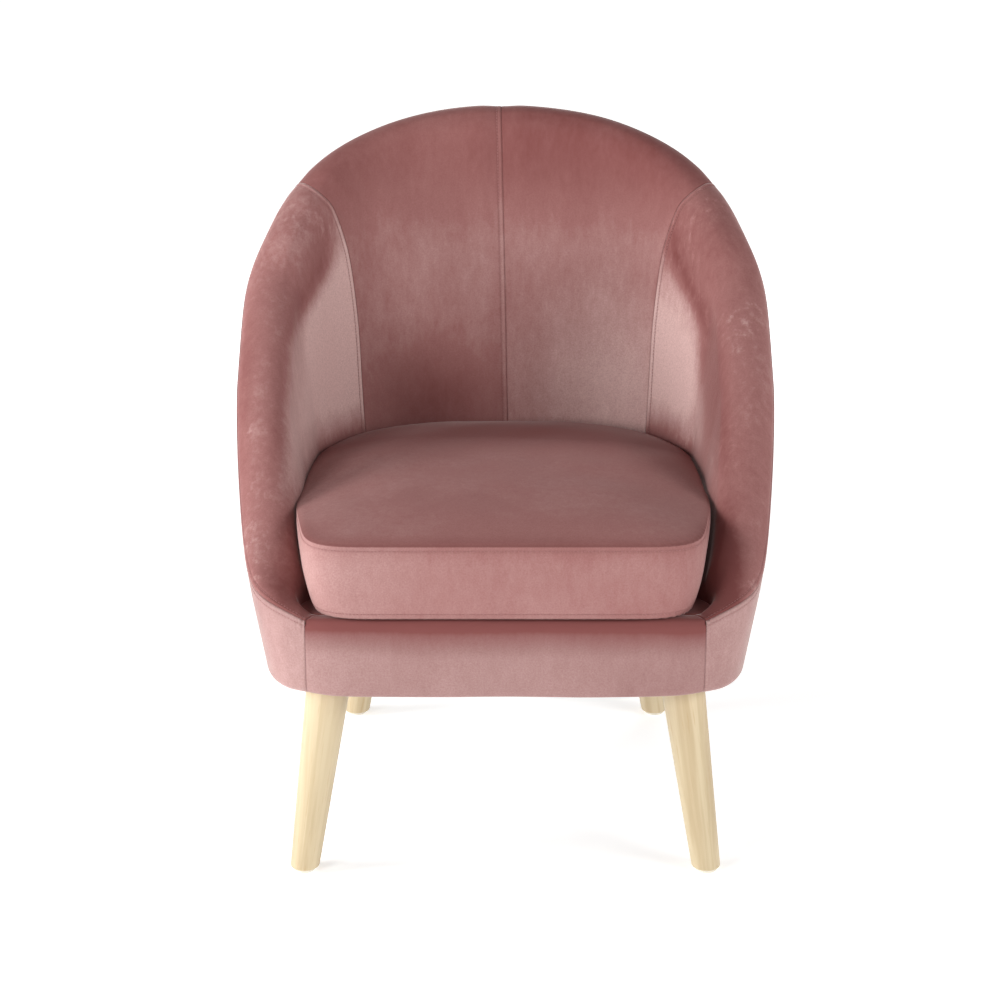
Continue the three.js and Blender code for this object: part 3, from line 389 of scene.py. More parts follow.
# %% Outlines of the tub at many heights
OUTLINE_SAMPLES, FRONT_STATIONS, SIDE_STATIONS, LEVELS = 2400, 120, 600, 150
DIRECTION_REACH_SHARE = 1 / 360
level_heights = np.linspace(BASE_HEIGHT, OVERALL_HEIGHT, LEVELS)


def outline(height):
    """Points at even shares along half of the tub's outline, with the directions that it runs."""
    climb = np.clip((height - BASE_HEIGHT) / (WIDEST_HEIGHT - BASE_HEIGHT), 0, 1)
    half_width = mix(BASE_WIDTH, OVERALL_WIDTH, 1 - (1 - climb) ** FLARE_POWER) / 2
    crown = OVERALL_HEIGHT - ROLL_RADIUS
    back = BACK_DEPTH - BACK_LEAN * (1 - (height - BASE_HEIGHT) / (crown - BASE_HEIGHT))
    angle = math.pi * (np.linspace(0, 1, OUTLINE_SAMPLES + 1) ** CORNER_SAMPLE_POWER - 0.5)
    turn = smooth(angle - POWER_BLEND_START)
    across = np.maximum(np.cos(angle), 0) ** (2 / mix(*WIDTH_POWERS, turn))
    along = np.abs(np.sin(angle)) ** (2 / mix(*DEPTH_POWERS, turn)) * np.sign(angle)
    x = half_width * across
    y = CENTRE_Y + np.where(angle < 0, FRONT_DEPTH, back) * along
    run = np.concatenate([[0], np.cumsum(np.hypot(np.diff(x), np.diff(y)))])
    beyond = int(np.argmax(x > FRONT_SEAM_X))
    seam = np.interp(FRONT_SEAM_X, x[: beyond + 1], run[: beyond + 1])
    stops = np.concatenate(
        [
            np.linspace(0, seam, FRONT_STATIONS + 1)[:-1],
            np.linspace(seam, run[-1], SIDE_STATIONS + 1),
        ]
    )
    reach = run[-1] * DIRECTION_REACH_SHARE
    ahead, behind = stops + reach, stops - reach

    def spot(length):
        folded = np.where(length > run[-1], 2 * run[-1] - length, np.abs(length))
        side = np.where((length < 0) | (length > run[-1]), -1, 1)
        return np.interp(folded, run, x) * side, np.interp(folded, run, y)

    (x0, y0), (x1, y1) = spot(behind), spot(ahead)
    span = np.hypot(x1 - x0, y1 - y0)
    px, py = spot(stops)
    return np.stack([px, py, (x1 - x0) / span, (y1 - y0) / span], axis=-1), run[-1] - seam


made_outlines = [outline(height) for height in level_heights]
OUTLINES = np.array([table for table, _ in made_outlines])
SIDE_LENGTH = float(np.interp(WIDEST_HEIGHT, level_heights, [run for _, run in made_outlines]))


def place(base_height, share, depth, height):
    """Points under the tub's surface, at a depth measured square to the outline."""
    base_height, share, depth, height = np.broadcast_arrays(base_height, share, depth, height)
    climb = (base_height - BASE_HEIGHT) / (OVERALL_HEIGHT - BASE_HEIGHT)
    row = np.clip(climb * (LEVELS - 1), 0, LEVELS - 1.001)
    station = FRONT_STATIONS + share * np.where(share < 0, FRONT_STATIONS, SIDE_STATIONS)
    station = np.clip(station, 0, FRONT_STATIONS + SIDE_STATIONS - 0.001)
    i, j = row.astype(int), station.astype(int)
    u, v = (row - i)[..., None], (station - j)[..., None]
    low = OUTLINES[i, j] * (1 - v) + OUTLINES[i, j + 1] * v
    high = OUTLINES[i + 1, j] * (1 - v) + OUTLINES[i + 1, j + 1] * v
    x, y, tx, ty = np.moveaxis(low * (1 - u) + high * u, -1, 0)
    size = np.hypot(tx, ty)
    return np.stack([x - ty / size * depth, y + tx / size * depth, height], axis=-1)


print("half outline from the front seam to the back:", round(SIDE_LENGTH, 3), "m")

# %% The rim and its roll
def rim_height(share):
    """The height of the rim at a share round the side."""
    last = len(RIM_RISE_SHARES) - 1
    rise = np.array(
        [2 * RIM_RISE_SHARES[0] - RIM_RISE_SHARES[1], *RIM_RISE_SHARES, RIM_RISE_SHARES[-2]]
    )
    at = np.clip(share, 0, 1) * last
    i = np.minimum(at.astype(int), last - 1)
    around = (rise[i + k] for k in range(4))
    return mix(DECK_HEIGHT, OVERALL_HEIGHT, curve_through(*around, at - i))


def rim(share):
    """The sizes of the rolled rim at a share round the side."""
    share = np.asarray(share, float)
    top = rim_height(share)
    outer = mix(ROLL_FRONT_RADIUS, ROLL_RADIUS, smooth(share / ROLL_GROWTH_SHARE))
    inner = INNER_ROLL_FRONT_RADIUS + (top - DECK_HEIGHT) * INNER_ROLL_GROWTH_SHARE
    lumbar = smooth((share - LUMBAR_START_SHARE) / (1 - LUMBAR_START_SHARE))
    return {
        "top": top,
        "outer": outer,
        "inner": np.minimum(ROLL_RADIUS, inner),
        "shoulder": top - outer,
        "squareness": mix(ROLL_FRONT_SQUARENESS, 1, smooth(share / ROLL_ROUND_SHARE)),
        "thickness": mix(RIM_FRONT_THICKNESS, RIM_THICKNESS, smooth(share / RIM_TAPER_SHARE)),
        "swell": mix(ARM_SWELL, LUMBAR_SWELL, lumbar) * smooth(share / SWELL_START_SHARE),
        "seam_angle": RIM_SEAM_RISE_ANGLE * (1 - smooth(share / RIM_SEAM_FALL_SHARE)),
    }


def roll_point(share, angle):
    """A point on the rolled rim: angle 0 is its outside, half a turn its inside."""
    r = rim(share)
    half = r["thickness"] / 2
    cosine = np.cos(angle)
    across = np.sign(cosine) * np.abs(cosine) ** r["squareness"]
    up = np.maximum(np.sin(angle), 0) ** r["squareness"]
    radius = np.where(angle <= math.pi / 2, r["outer"], r["inner"])
    return place(r["shoulder"], share, half - half * across, r["top"] - radius + radius * up)


def inner_depth(share, height):
    """How far the inside of the tub lies under its outline at a height below the roll."""
    r = rim(share)
    foot = r["top"] - r["inner"]
    fall = np.maximum(foot - DECK_HEIGHT, ROLL_FRONT_RADIUS)
    return r["thickness"] + r["swell"] * np.clip((foot - height) / fall, 0, 1)


print("rim from", rim_height(np.array(0.0)), "to", rim_height(np.array(1.0)))

# %% [markdown]
# ## Cover panels
# A cover is cut as flat panels and sewn along their edges. Each panel here is a grid of points
# between two seams, with lines close together near a seam and wider apart between. The panel then
# gets what sewing does to it: it swells a little over the foam, dips sharply into the seam, and is
# pinched again along the row of topstitching beside it. The grid is closed with a second face
# under the first, so that the cloth has its thickness.

# %% Grids with close lines at the seams
SEAM_STEP, OPEN_STEP, SEAM_REACH = 0.0009, 0.0042, 0.022
WALL_STEP, WALL_RUN = 0.0045, 0.45
ROLL_LINES, FOLD_ABOVE, FOLD_BELOW, FOLD_PASSES = 40, 12, 16, 30
EDGE_LINES, SIDE_LINES, SHOULDER_LINES = 9, 110, 15


def seam_steps(length, first=True, last=True, coarse=OPEN_STEP):
    """Shares from 0 to 1, closer together near the sewn ends."""
    along = np.linspace(0, length, 2000)
    near = np.full_like(along, SEAM_REACH)
    if first:
        near = np.minimum(near, along)
    if last:
        near = np.minimum(near, length - along)
    step = mix(SEAM_STEP, coarse, smooth(near / SEAM_REACH))
    count = np.concatenate([[0], np.cumsum(np.diff(along) / ((step[1:] + step[:-1]) / 2))])
    wanted = np.linspace(0, count[-1], max(int(math.ceil(count[-1])), 2) + 1)
    return np.interp(wanted, count, along) / length


def soften(grid, rows, passes):
    """Rounds the fold between the roll and the wall by averaging along the columns there."""
    grid = grid.copy()
    low, high = rows
    for _ in range(passes):
        inner = (grid[:, low - 1 : high - 1] + grid[:, low + 1 : high + 1]) / 2
        grid[:, low:high] = (grid[:, low:high] + inner) / 2
    return grid


def inside_grid(start, end, across):
    """Points over the roll (way 0 to 1) and down the inside (1 to 2), between two given edges."""
    roll = np.linspace(0, 1, ROLL_LINES)
    wall = seam_steps(WALL_RUN, first=False, last=False, coarse=WALL_STEP)[1:]
    on_roll = np.concatenate([roll, np.ones(len(wall))])
    fall = np.concatenate([np.zeros(len(roll)), wall])
    way = on_roll + fall
    share = mix(start(way)[None], end(way)[None], across[:, None])
    r = rim(share)
    angle = mix(r["seam_angle"], math.pi, on_roll[None])
    grid = roll_point(share, angle)
    foot = r["top"] - r["inner"]
    height = mix(foot, PAD_FOOT, fall[None])
    lower = place(r["shoulder"], share, inner_depth(share, height), height)
    grid = np.where((fall > 0)[None, :, None], lower, grid)
    return soften(grid, (ROLL_LINES - FOLD_ABOVE, ROLL_LINES + FOLD_BELOW), FOLD_PASSES)


def outside_grid(shares):
    """Points from under the base round its bottom edge and up to the rim seam."""
    under = np.linspace(0, 1, EDGE_LINES)[:-1]
    edge = np.linspace(0, math.pi / 2, EDGE_LINES)
    wall = np.linspace(0, 1, SIDE_LINES)[1 : 1 - SHOULDER_LINES]
    shoulder = np.linspace(0, 1, SHOULDER_LINES)
    share = shares[:, None]
    r = rim(share)
    turned_in = mix(TURN_UNDER, BOTTOM_EDGE_RADIUS, under[None])
    parts = [place(BASE_HEIGHT, share, turned_in, BASE_HEIGHT)]
    height = BASE_HEIGHT + BOTTOM_EDGE_RADIUS * (1 - np.cos(edge[None]))
    parts.append(place(height, share, BOTTOM_EDGE_RADIUS * (1 - np.sin(edge[None])), height))
    height = mix(BASE_HEIGHT + BOTTOM_EDGE_RADIUS, r["shoulder"], wall[None])
    parts.append(place(height, share, 0, height))
    straight = mix(BASE_HEIGHT + BOTTOM_EDGE_RADIUS, r["shoulder"], wall[-1])
    rise = mix(straight, r["shoulder"], np.minimum(shoulder * 2, 1)[None])
    lower = place(rise, share, 0, rise)
    upper = roll_point(share, np.maximum(shoulder * 2 - 1, 0)[None] * r["seam_angle"])
    parts.append(np.where((shoulder <= 0.5)[None, :, None], lower, upper)[:, 1:])
    return np.concatenate(parts, axis=1)


print("lines across an arm panel:", len(seam_steps(0.6)))

# %% What sewing does to a panel
PUFF, PUFF_REACH, RIM_PUFF_SHARE, RIM_PUFF_REACH = 0.0020, 0.030, 0.2, 0.085
SEAM_DIP, SEAM_WIDTH = 0.0006, 0.0030
STITCH_INSET, STITCH_DIP, STITCH_SPREAD = 0.0060, 0.0005, 0.0013
SWELL, SWELL_LENGTH = 0.0007, 0.16
CLOTH_THICKNESS, SEAM_THINNING = 0.0012, 0.25
# Width and shares of the painted seam shade.
CREASE_WIDTH, CREASE_DEPTH_SHARE, STITCH_MARK_SHARE = 0.0008, 0.36, 0.20
LIFT, RIDGE, RIDGE_EDGE, RIDGE_HIGHLIGHT = 0.0006, 0.0003, 0.0014, 0.12
PUCKER, PUCKER_LENGTH, PUCKER_REACH, PUCKER_WANDER = 0.0008, 0.0052, 0.016, 0.03
EDGES = ("start", "end", "top", "bottom")
waves = np.random.default_rng(7)
WAVE_TURNS = waves.normal(size=(14, 3))
WAVE_PHASES = waves.uniform(0, 2 * math.pi, 14)


def ripple(points, length):
    """A smooth uneven swell between about -1 and 1, whose waves are roughly this long."""
    turns = WAVE_TURNS / np.linalg.norm(WAVE_TURNS, axis=1)[:, None]
    spread = np.linspace(0.7, 1.5, len(turns))[:, None]
    return np.sin(points @ (turns * spread * 2 * math.pi / length).T + WAVE_PHASES).sum(-1) / 4


def directions(grid):
    """The direction that each point of a grid faces."""
    facing = np.cross(np.gradient(grid, axis=0), np.gradient(grid, axis=1))
    return facing / np.maximum(np.linalg.norm(facing, axis=-1, keepdims=True), 1e-12)


def edge_distances(grid):
    """How far each point lies from the four edges of its panel, measured over the cloth."""
    across = np.linalg.norm(np.diff(grid, axis=0), axis=-1).cumsum(0)
    across = np.concatenate([np.zeros_like(across[:1]), across])
    along = np.linalg.norm(np.diff(grid, axis=1), axis=-1).cumsum(1)
    along = np.concatenate([np.zeros_like(along[:, :1]), along], axis=1)
    return dict(zip(EDGES, (across, across[-1:] - across, along, along[:, -1:] - along)))


def crease(away, seams, stitched):
    """Painted shade, darkest in a seam, and fainter where the topstitches press the pile and their
    dimple holds shade.
    """
    dark = np.zeros_like(away["start"])
    for edge in seams:
        dark = np.maximum(dark, CREASE_DEPTH_SHARE * bell(away[edge], CREASE_WIDTH))
    for edge in stitched:
        line = STITCH_MARK_SHARE * bell(away[edge] - STITCH_INSET, STITCH_SPREAD)
        dark = np.maximum(dark, line)
    return dark


def folded(away, stitched):
    """1 where folded cloth lies under the panel, between a seam and its stitches."""
    share = np.zeros_like(away["start"])
    for edge in stitched:
        fall = 1 - past(away[edge], STITCH_INSET - RIDGE_EDGE, RIDGE_EDGE)
        share = np.maximum(share, past(away[edge], 0, RIDGE_EDGE) * fall)
    return share


def sewn(grid, seams, stitched, swell=SWELL, puff=PUFF, puckered=()):
    """The panel as it lies once it is sewn: proud over the padding and drawn in at its seams."""
    away = edge_distances(grid)
    nearest = np.min([away[edge] for edge in seams], axis=0)
    below = mix(RIM_PUFF_SHARE, 1, smooth(away["top"] / RIM_PUFF_REACH)) if "top" in seams else 1
    proud = LIFT + puff * below * smooth(nearest / PUFF_REACH) + RIDGE * folded(away, stitched)
    for edge, other in puckered:
        fold = np.sin(away[edge] * 2 * math.pi / PUCKER_LENGTH + 2 * ripple(grid, PUCKER_WANDER))
        proud += PUCKER * fold * bell(np.hypot(away[edge], away[other]), PUCKER_REACH)
    proud += swell * below * ripple(grid, SWELL_LENGTH) * smooth(nearest / PUFF_REACH)
    for edge in seams:
        proud -= SEAM_DIP * np.clip(1 - away[edge] / SEAM_WIDTH, 0, 1) ** 2
    for edge in stitched:
        proud -= STITCH_DIP * bell(away[edge] - STITCH_INSET, STITCH_SPREAD)
    facing = directions(grid)
    thin = mix(SEAM_THINNING, 1, smooth(nearest / SEAM_WIDTH)) * CLOTH_THICKNESS
    return grid + facing * proud[..., None], facing, thin, away


print("topstitches lie", STITCH_INSET * 1000, "mm from their seam")

# %% Turn grids into closed cloth
def add_piece(name, points, faces, finish, body="chair"):
    """A smooth piece from points and faces, with its finish and the body that it rides."""
    mesh = bpy.data.meshes.new(name)
    mesh.from_pydata(np.asarray(points).tolist(), [], faces)
    mesh.update()
    mesh.polygons.foreach_set("use_smooth", np.ones(len(mesh.polygons), bool))
    mesh.materials.append(finish)
    piece = bpy.data.objects.new(name, mesh)
    bpy.context.scene.collection.objects.link(piece)
    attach(piece, body)
    return piece


def mark(piece, **layers):
    """Writes shares at the points of a piece, which its finish reads by name."""
    for name, shares in layers.items():
        layer = piece.data.attributes.new(name, "FLOAT", "POINT")
        layer.data.foreach_set("value", np.asarray(shares, np.float32).ravel())


def cloth(name, face, facing, thin, finish, mirrored):
    """A closed panel: the face, the same a cloth's thickness below it, and the cut edges."""
    under = face - facing * thin[..., None]
    rows, columns = face.shape[:2]
    points = np.concatenate([face.reshape(-1, 3), under.reshape(-1, 3)])
    index = np.arange(rows * columns).reshape(rows, columns)
    below = index + rows * columns
    square = np.stack([index[:-1, :-1], index[1:, :-1], index[1:, 1:], index[:-1, 1:]], -1)
    faces = [square.reshape(-1, 4), (square[..., ::-1] + rows * columns).reshape(-1, 4)]
    for line, low, turned in (
        (index[:, 0], below[:, 0], False), (index[:, -1], below[:, -1], True),
        (index[0], below[0], True), (index[-1], below[-1], False),
    ):
        strip = np.stack([line[1:], line[:-1], low[:-1], low[1:]], -1)
        faces.append(strip[:, ::-1] if turned else strip)
    faces = np.concatenate(faces)
    if mirrored:
        points = points * (-1, 1, 1)
        faces = faces[:, ::-1]
    return add_piece(name, points, faces.tolist(), finish)


def both_halves(half, from_middle):
    """A grid that crosses the middle of the chair, from the half that starts or ends there."""
    other = half[::-1] * (-1, 1, 1)
    return np.concatenate([other, half[1:]] if from_middle else [half, other[1:]])


print("cloth is", CLOTH_THICKNESS * 1000, "mm thick, and", SEAM_THINNING, "of that in a seam")

# %% [markdown]
# ## Inside covers
# Two panels line each side: one over the arm and one over half of the back. They meet in a seam
# that starts at the outline of the rim and drops to the seat, and the two back panels meet in the
# middle of the back. The arm panel runs forward until it wraps the thin front of the rim, where it
# is joined slantwise to the cover of the front rail.

# %% Seams and the rows of stitches beside them
FRONT_SLANT_SHARE, SEAM_BEND_REACH, THREAD_TRIM = -0.062, 0.06, 0.004
threads = []


def seam_thread(face, facing, away, edge):
    """The row of topstitches beside a sewn edge: places and directions, in order."""

    def ordered(value):
        value = value if edge in ("start", "end") else np.swapaxes(value, 0, 1)
        return value[::-1] if edge in ("end", "bottom") else value

    points, normals, far = ordered(face), ordered(facing), ordered(away[edge])
    others = np.min([ordered(away[side]) for side in EDGES if side != edge], axis=0)
    line = []
    for k in range(points.shape[1]):
        i = int(np.searchsorted(far[:, k], STITCH_INSET))
        if not 0 < i < len(far) or others[i, k] < THREAD_TRIM:
            continue
        part = (STITCH_INSET - far[i - 1, k]) / (far[i, k] - far[i - 1, k])
        line.append([mix(value[i - 1, k], value[i, k], part) for value in (points, normals)])
    return np.array(line)


def inside_seam(way):
    """The seam between arm and back: it crosses the roll, bends at its foot and runs down."""
    spread = np.linspace(-SEAM_BEND_REACH, SEAM_BEND_REACH, 9)
    return np.mean([np.interp(way + step, SEAM_WAYS, SEAM_SHARES) for step in spread], axis=0)


def front_slant(way):
    """The slanting seam where the arm panel meets the cover of the front rail."""
    return FRONT_SLANT_SHARE * smooth(way)


def back_middle(way):
    """The seam down the middle of the back."""
    return np.ones_like(way)


def cover(name, replaced, grid, seams, stitched, finish, mirrored=False, nap=None, fill=0.95,
          **sewing):
    """Sews one panel, gives it painted seam shade and painted light and shade, and puts it in the
    place of its CAD cover.
    """
    face, facing, thin, away = sewn(grid, seams, stitched, **sewing)
    piece = cloth(name, face, facing, thin, finish, mirrored)
    dark = crease(away, seams, stitched)
    nap = nap(face) if nap else np.zeros(dark.shape)
    # A pale painted highlight along the folded ridge between the seam and its stitches.
    nap = nap + RIDGE_HIGHLIGHT * folded(away, set(stitched) & {"end"})
    mark(piece, crease=[dark, dark], nap=[nap, nap])
    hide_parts(replaced)
    for edge in stitched:
        line = seam_thread(face, facing, away, edge)
        threads.append(line * (-1, 1, 1) if mirrored else line)


print("seams turn over", round(2 * SEAM_BEND_REACH, 2), "of the roll")

# %% [markdown]
# ## Painted light and the lie of the pile
# The same velvet looks pale where its pile leans to the lamp and deep where it leans away. Each
# panel gets a number at every point that leans its colour pale or deep, from rules on the place in
# the chair, which could also be painted by hand. Most of these numbers are painted light and shade:
# a painted sheen on the inside walls of the arms, painted shadows of the cushion and of the left
# arm, painted shade in the hollow of the roll, under the crown and on the rail, and painted light
# on the faces turned to the lamps. Above 0 is pale, below 0 is deep.

# %% Rules for where painted light and shade fall
ROLL_SHIFT, ROLL_SHIFT_START, ROLL_SHIFT_REACH = 0.042, 0.56, 0.11
ROLL_WANDER, ROLL_WANDER_LENGTH = 0.0012, 0.11
WALL_LIGHT_EDGE_REACH, WALL_LIGHT_FRONT, WALL_LIGHT_FRONT_REACH = 0.036, -0.26, 0.10
WALL_LIGHT_FOOT, WALL_LIGHT_FOOT_REACH, WALL_LIGHT_TOP_REACH = 0.40, 0.09, 0.22
SHADOW_TOP, SHADOW_TOP_REACH, SHADOW_SIDE, SHADOW_SIDE_REACH = 0.45, 0.08, 0.285, 0.03
HOLLOW_SHIFT, HOLLOW_WIDTH = 0.012, 0.012
HOLLOW_FOOT, HOLLOW_FOOT_REACH, HOLLOW_TOP, HOLLOW_TOP_REACH = 0.42, 0.06, 0.74, 0.1


def patch(points, middle, reach):
    """1 at a place on the chair, falling softly to 0 around it."""
    return np.exp(-(((points - middle) / reach) ** 2).sum(-1))


def roll_edge(points, edge):
    """How far inside the roll a point of the arm lies: above 0 on the wall, below on the rim."""
    line = edge - ROLL_SHIFT * past(points[..., 2], ROLL_SHIFT_START, ROLL_SHIFT_REACH)
    return line + ROLL_WANDER * ripple(points, ROLL_WANDER_LENGTH) - np.abs(points[..., 0])


def painted_wall_light(points, edge, top):
    """1 on the wall inside an arm, which is drawn pale as painted light and sheen, fading low down
    and high up.
    """
    wall = smooth(roll_edge(points, edge) / WALL_LIGHT_EDGE_REACH + 0.5)
    wall = wall * past(points[..., 1], WALL_LIGHT_FRONT, WALL_LIGHT_FRONT_REACH)
    wall = wall * past(points[..., 2], WALL_LIGHT_FOOT, WALL_LIGHT_FOOT_REACH)
    return wall * past(points[..., 2], top, -WALL_LIGHT_TOP_REACH)


def shadow_beside_cushion(points):
    """1 low on the inner side of an arm, where the cushion casts a painted shadow."""
    low = past(points[..., 2], SHADOW_TOP, -SHADOW_TOP_REACH)
    return low * past(np.abs(points[..., 0]), SHADOW_SIDE, -SHADOW_SIDE_REACH)


def hollow(points, edge):
    """1 along the line where the roll meets the wall, where painted shade lies in the hollow."""
    line = bell(roll_edge(points, edge) + HOLLOW_SHIFT, HOLLOW_WIDTH)
    line = line * past(points[..., 2], HOLLOW_FOOT, HOLLOW_FOOT_REACH)
    return line * past(points[..., 2], HOLLOW_TOP, -HOLLOW_TOP_REACH)


# The pale painted light on the arm walls starts at this height.
print("the pile is stroked from", WALL_LIGHT_FOOT, "m up")

# %% Painted light and shade on each panel
# Shares of painted light (above 0) and painted shade (below 0) for the arms, back, outside and
# rail.
ARM_EDGE, ARM_WALL_LIGHT_TOP, ARM_UPPER_SHADE = 0.243, 0.72, -0.16
LEFT_EDGE, LEFT_HOLLOW_EDGE, LEFT_WALL_LIGHT_TOP, LEFT_UPPER_LIGHT = 0.257, 0.256, 0.79, 0.14
WALL_LIGHT_SHARE, OUTER_NAP, LEFT_RIM_SHADE = 1.12, 0.04, -0.30
HOLLOW_SHADE, LEFT_HOLLOW_SHADE, CUSHION_SHADOW, LEFT_CUSHION_SHADOW = -0.42, -0.20, -0.85, -0.36
UPPER_START, UPPER_REACH = 0.60, 0.08
CROWN_SHADE, RIGHT_CROWN_SHADE, RIGHT_PATCH_LIGHT, LEFT_PATCH_SHADOW = -0.50, -0.16, 0.68, -0.55
RIGHT_PATCH = ((0.14, 0.18, 0.46), (0.09, 0.2, 0.10))
LEFT_PATCH = ((0.085, 0.22, 0.45), (0.075, 0.2, 0.07))
OUTSIDE_SHEEN, LEFT_OUTSIDE_SHEEN = 0.10, 0.16
RAIL_TURN_SHADE, RAIL_SIDE_SHADE, RAIL_END_SHADE, RAIL_UNDER_SHADOW = -0.66, -0.30, -0.14, -0.30


def arm_nap_and_light(points):
    """Painted light and shade: a pale painted sheen inside, a little paler on the outer edge,
    painted shade high up, in the hollow of the roll and in the cushion's shadow at its foot.
    """
    x, height = np.abs(points[..., 0]), points[..., 2]
    nap = WALL_LIGHT_SHARE * painted_wall_light(points, ARM_EDGE, ARM_WALL_LIGHT_TOP)
    nap = nap + OUTER_NAP * past(x, 0.270, 0.02) * past(height, 0.45, 0.1)
    nap = nap + ARM_UPPER_SHADE * past(height, UPPER_START, UPPER_REACH)
    return nap + HOLLOW_SHADE * hollow(points, ARM_EDGE) + CUSHION_SHADOW * shadow_beside_cushion(points)


def left_arm_nap_and_light(points):
    """The left arm, with its pale painted wall; redder on its outer edge as painted shade, paler
    high up as painted light, deeper in the hollow and the cushion's shadow.
    """
    x, height = np.abs(points[..., 0]), points[..., 2]
    nap = WALL_LIGHT_SHARE * painted_wall_light(points, LEFT_EDGE, LEFT_WALL_LIGHT_TOP)
    nap = nap + LEFT_RIM_SHADE * past(x, 0.298, 0.018) * past(height, 0.66, -0.12)
    nap = nap + LEFT_UPPER_LIGHT * past(height, UPPER_START, UPPER_REACH)
    nap = nap + LEFT_HOLLOW_SHADE * hollow(points, LEFT_HOLLOW_EDGE)
    return nap + LEFT_CUSHION_SHADOW * shadow_beside_cushion(points)


def back_crown_shade(points):
    """Deeper towards the top of the back: painted shade under the crown."""
    return CROWN_SHADE * past(points[..., 2], 0.64, 0.14)


def right_back_light_and_shade(points):
    """The same for the right half, with more painted shade at the crown and a patch of painted
    light low beside the arm.
    """
    crown = RIGHT_CROWN_SHADE * past(points[..., 2], 0.66, 0.1)
    return back_crown_shade(points) + RIGHT_PATCH_LIGHT * patch(points, *RIGHT_PATCH) + crown


def left_back_shade(points):
    """The same for the left half, with a painted shadow of the left arm low near the seat."""
    return back_crown_shade(points) + LEFT_PATCH_SHADOW * patch(points, *LEFT_PATCH)


def outside_sheen(points):
    """A little paler towards the front corner: painted sheen."""
    return OUTSIDE_SHEEN * past(points[..., 1], -0.10, -0.15)


def left_outside_sheen(points):
    """The left corner is paler still: painted sheen and painted light."""
    return LEFT_OUTSIDE_SHEEN * past(points[..., 1], -0.16, -0.12)


def rail_shade(points):
    """Painted shade: redder where the rail turns over under the cushion, darker still just under it
    and at its ends, and deeper towards the right, away from the main lamp.
    """
    x, height = points[..., 0], points[..., 2]
    ends = past(np.abs(x), 0.150, 0.07) * past(height, 0.300, 0.02)
    turned = RAIL_TURN_SHADE * past(height, 0.280, 0.044)
    under = RAIL_UNDER_SHADOW * past(height, 0.310, 0.012)
    return turned + under + RAIL_SIDE_SHADE * x + RAIL_END_SHADE * ends


print("the right of the back is palest near", RIGHT_PATCH[0][2], "m high")

# %% Lay the arm and back panels
SEAM_SHIFT_HIGH, SEAM_SHIFT_LOW, SEAM_SHIFT_REACH, SEAM_SHIFT_FOOT = -0.0055, 0.0030, 0.13, 0.43
ARM_PANEL_SHARE, BACK_PANEL_SHARE, ARM_PANEL_SWELL = 0.66, 0.33, 0.0010
SIDES = (("right", False, 1), ("left", True, -1))


def slanted(grid, side):
    """The back panel with its middle edge drawn sideways, as the middle seam is a little askew."""
    climb = (grid[..., 2] - SEAM_SHIFT_FOOT) / (OVERALL_HEIGHT - SEAM_SHIFT_FOOT)
    shift = mix(SEAM_SHIFT_LOW, SEAM_SHIFT_HIGH, np.clip(climb, 0, 1))
    shift = shift * smooth(1 - grid[..., 0] / SEAM_SHIFT_REACH)
    moved = grid.copy()
    moved[..., 0] += shift * side
    return moved


arm_grid = inside_grid(front_slant, inside_seam, seam_steps(SIDE_LENGTH * ARM_PANEL_SHARE))
back_grid = inside_grid(inside_seam, back_middle, seam_steps(SIDE_LENGTH * BACK_PANEL_SHARE))
for side, mirrored, sign in SIDES:
    cover(f"inside_arm_panel_{side}", f"inside_arm_cover_{side}", arm_grid, ("start", "end", "top"),
          ("end", "top"), arm_velvet, mirrored, left_arm_nap_and_light if mirrored else arm_nap_and_light,
          swell=ARM_PANEL_SWELL, puckered=(("start", "top"),))
    cover(f"inside_back_panel_{side}", f"inside_back_cover_{side}", slanted(back_grid, sign),
          ("start", "end", "top"), ("end", "top") if mirrored else ("top",), back_velvet, mirrored,
          left_back_shade if mirrored else right_back_light_and_shade)
print("arm panel of", arm_grid.shape[0], "by", arm_grid.shape[1], "points")

# %% [markdown]
# ## Outside covers
# One panel covers each outside and one wraps the back. They are pulled down over the bottom edge
# and turned under the base, where they are stapled; their front corners are drawn paler as painted
# sheen. The front rail has its own strip of velvet, which lies with its pile the other way. It is
# mixed paler and greyer, partly for that and partly as painted light on a face turned to the
# lamps, and it is drawn darker as painted shade where it runs under the cushion.

# %% Cover the outside
OUTSIDE_PUFF, RAIL_PUFF, RAIL_SWELL = 0.0009, 0.0012, 0.0005
side_grid = outside_grid(seam_steps(SIDE_LENGTH * BACK_SEAM_RIM_SHARE) * BACK_SEAM_RIM_SHARE)
for side, mirrored, _ in SIDES:
    cover(f"outside_panel_{side}", f"outside_cover_{side}", side_grid, ("start", "end", "bottom"),
          ("bottom",), shell_velvet, mirrored, left_outside_sheen if mirrored else outside_sheen,
          fill=0.9, puff=OUTSIDE_PUFF, puckered=(("start", "bottom"),))
rear_steps = seam_steps(SIDE_LENGTH * (1 - BACK_SEAM_RIM_SHARE), last=False)
rear_half = outside_grid(mix(BACK_SEAM_RIM_SHARE, 1, rear_steps))
cover("outside_back_panel", "outside_back_cover", both_halves(rear_half, False),
      ("start", "end", "bottom"), ("bottom",), shell_velvet, fill=0.9, puff=OUTSIDE_PUFF)
print("side panel of", side_grid.shape[0], "by", side_grid.shape[1], "points")

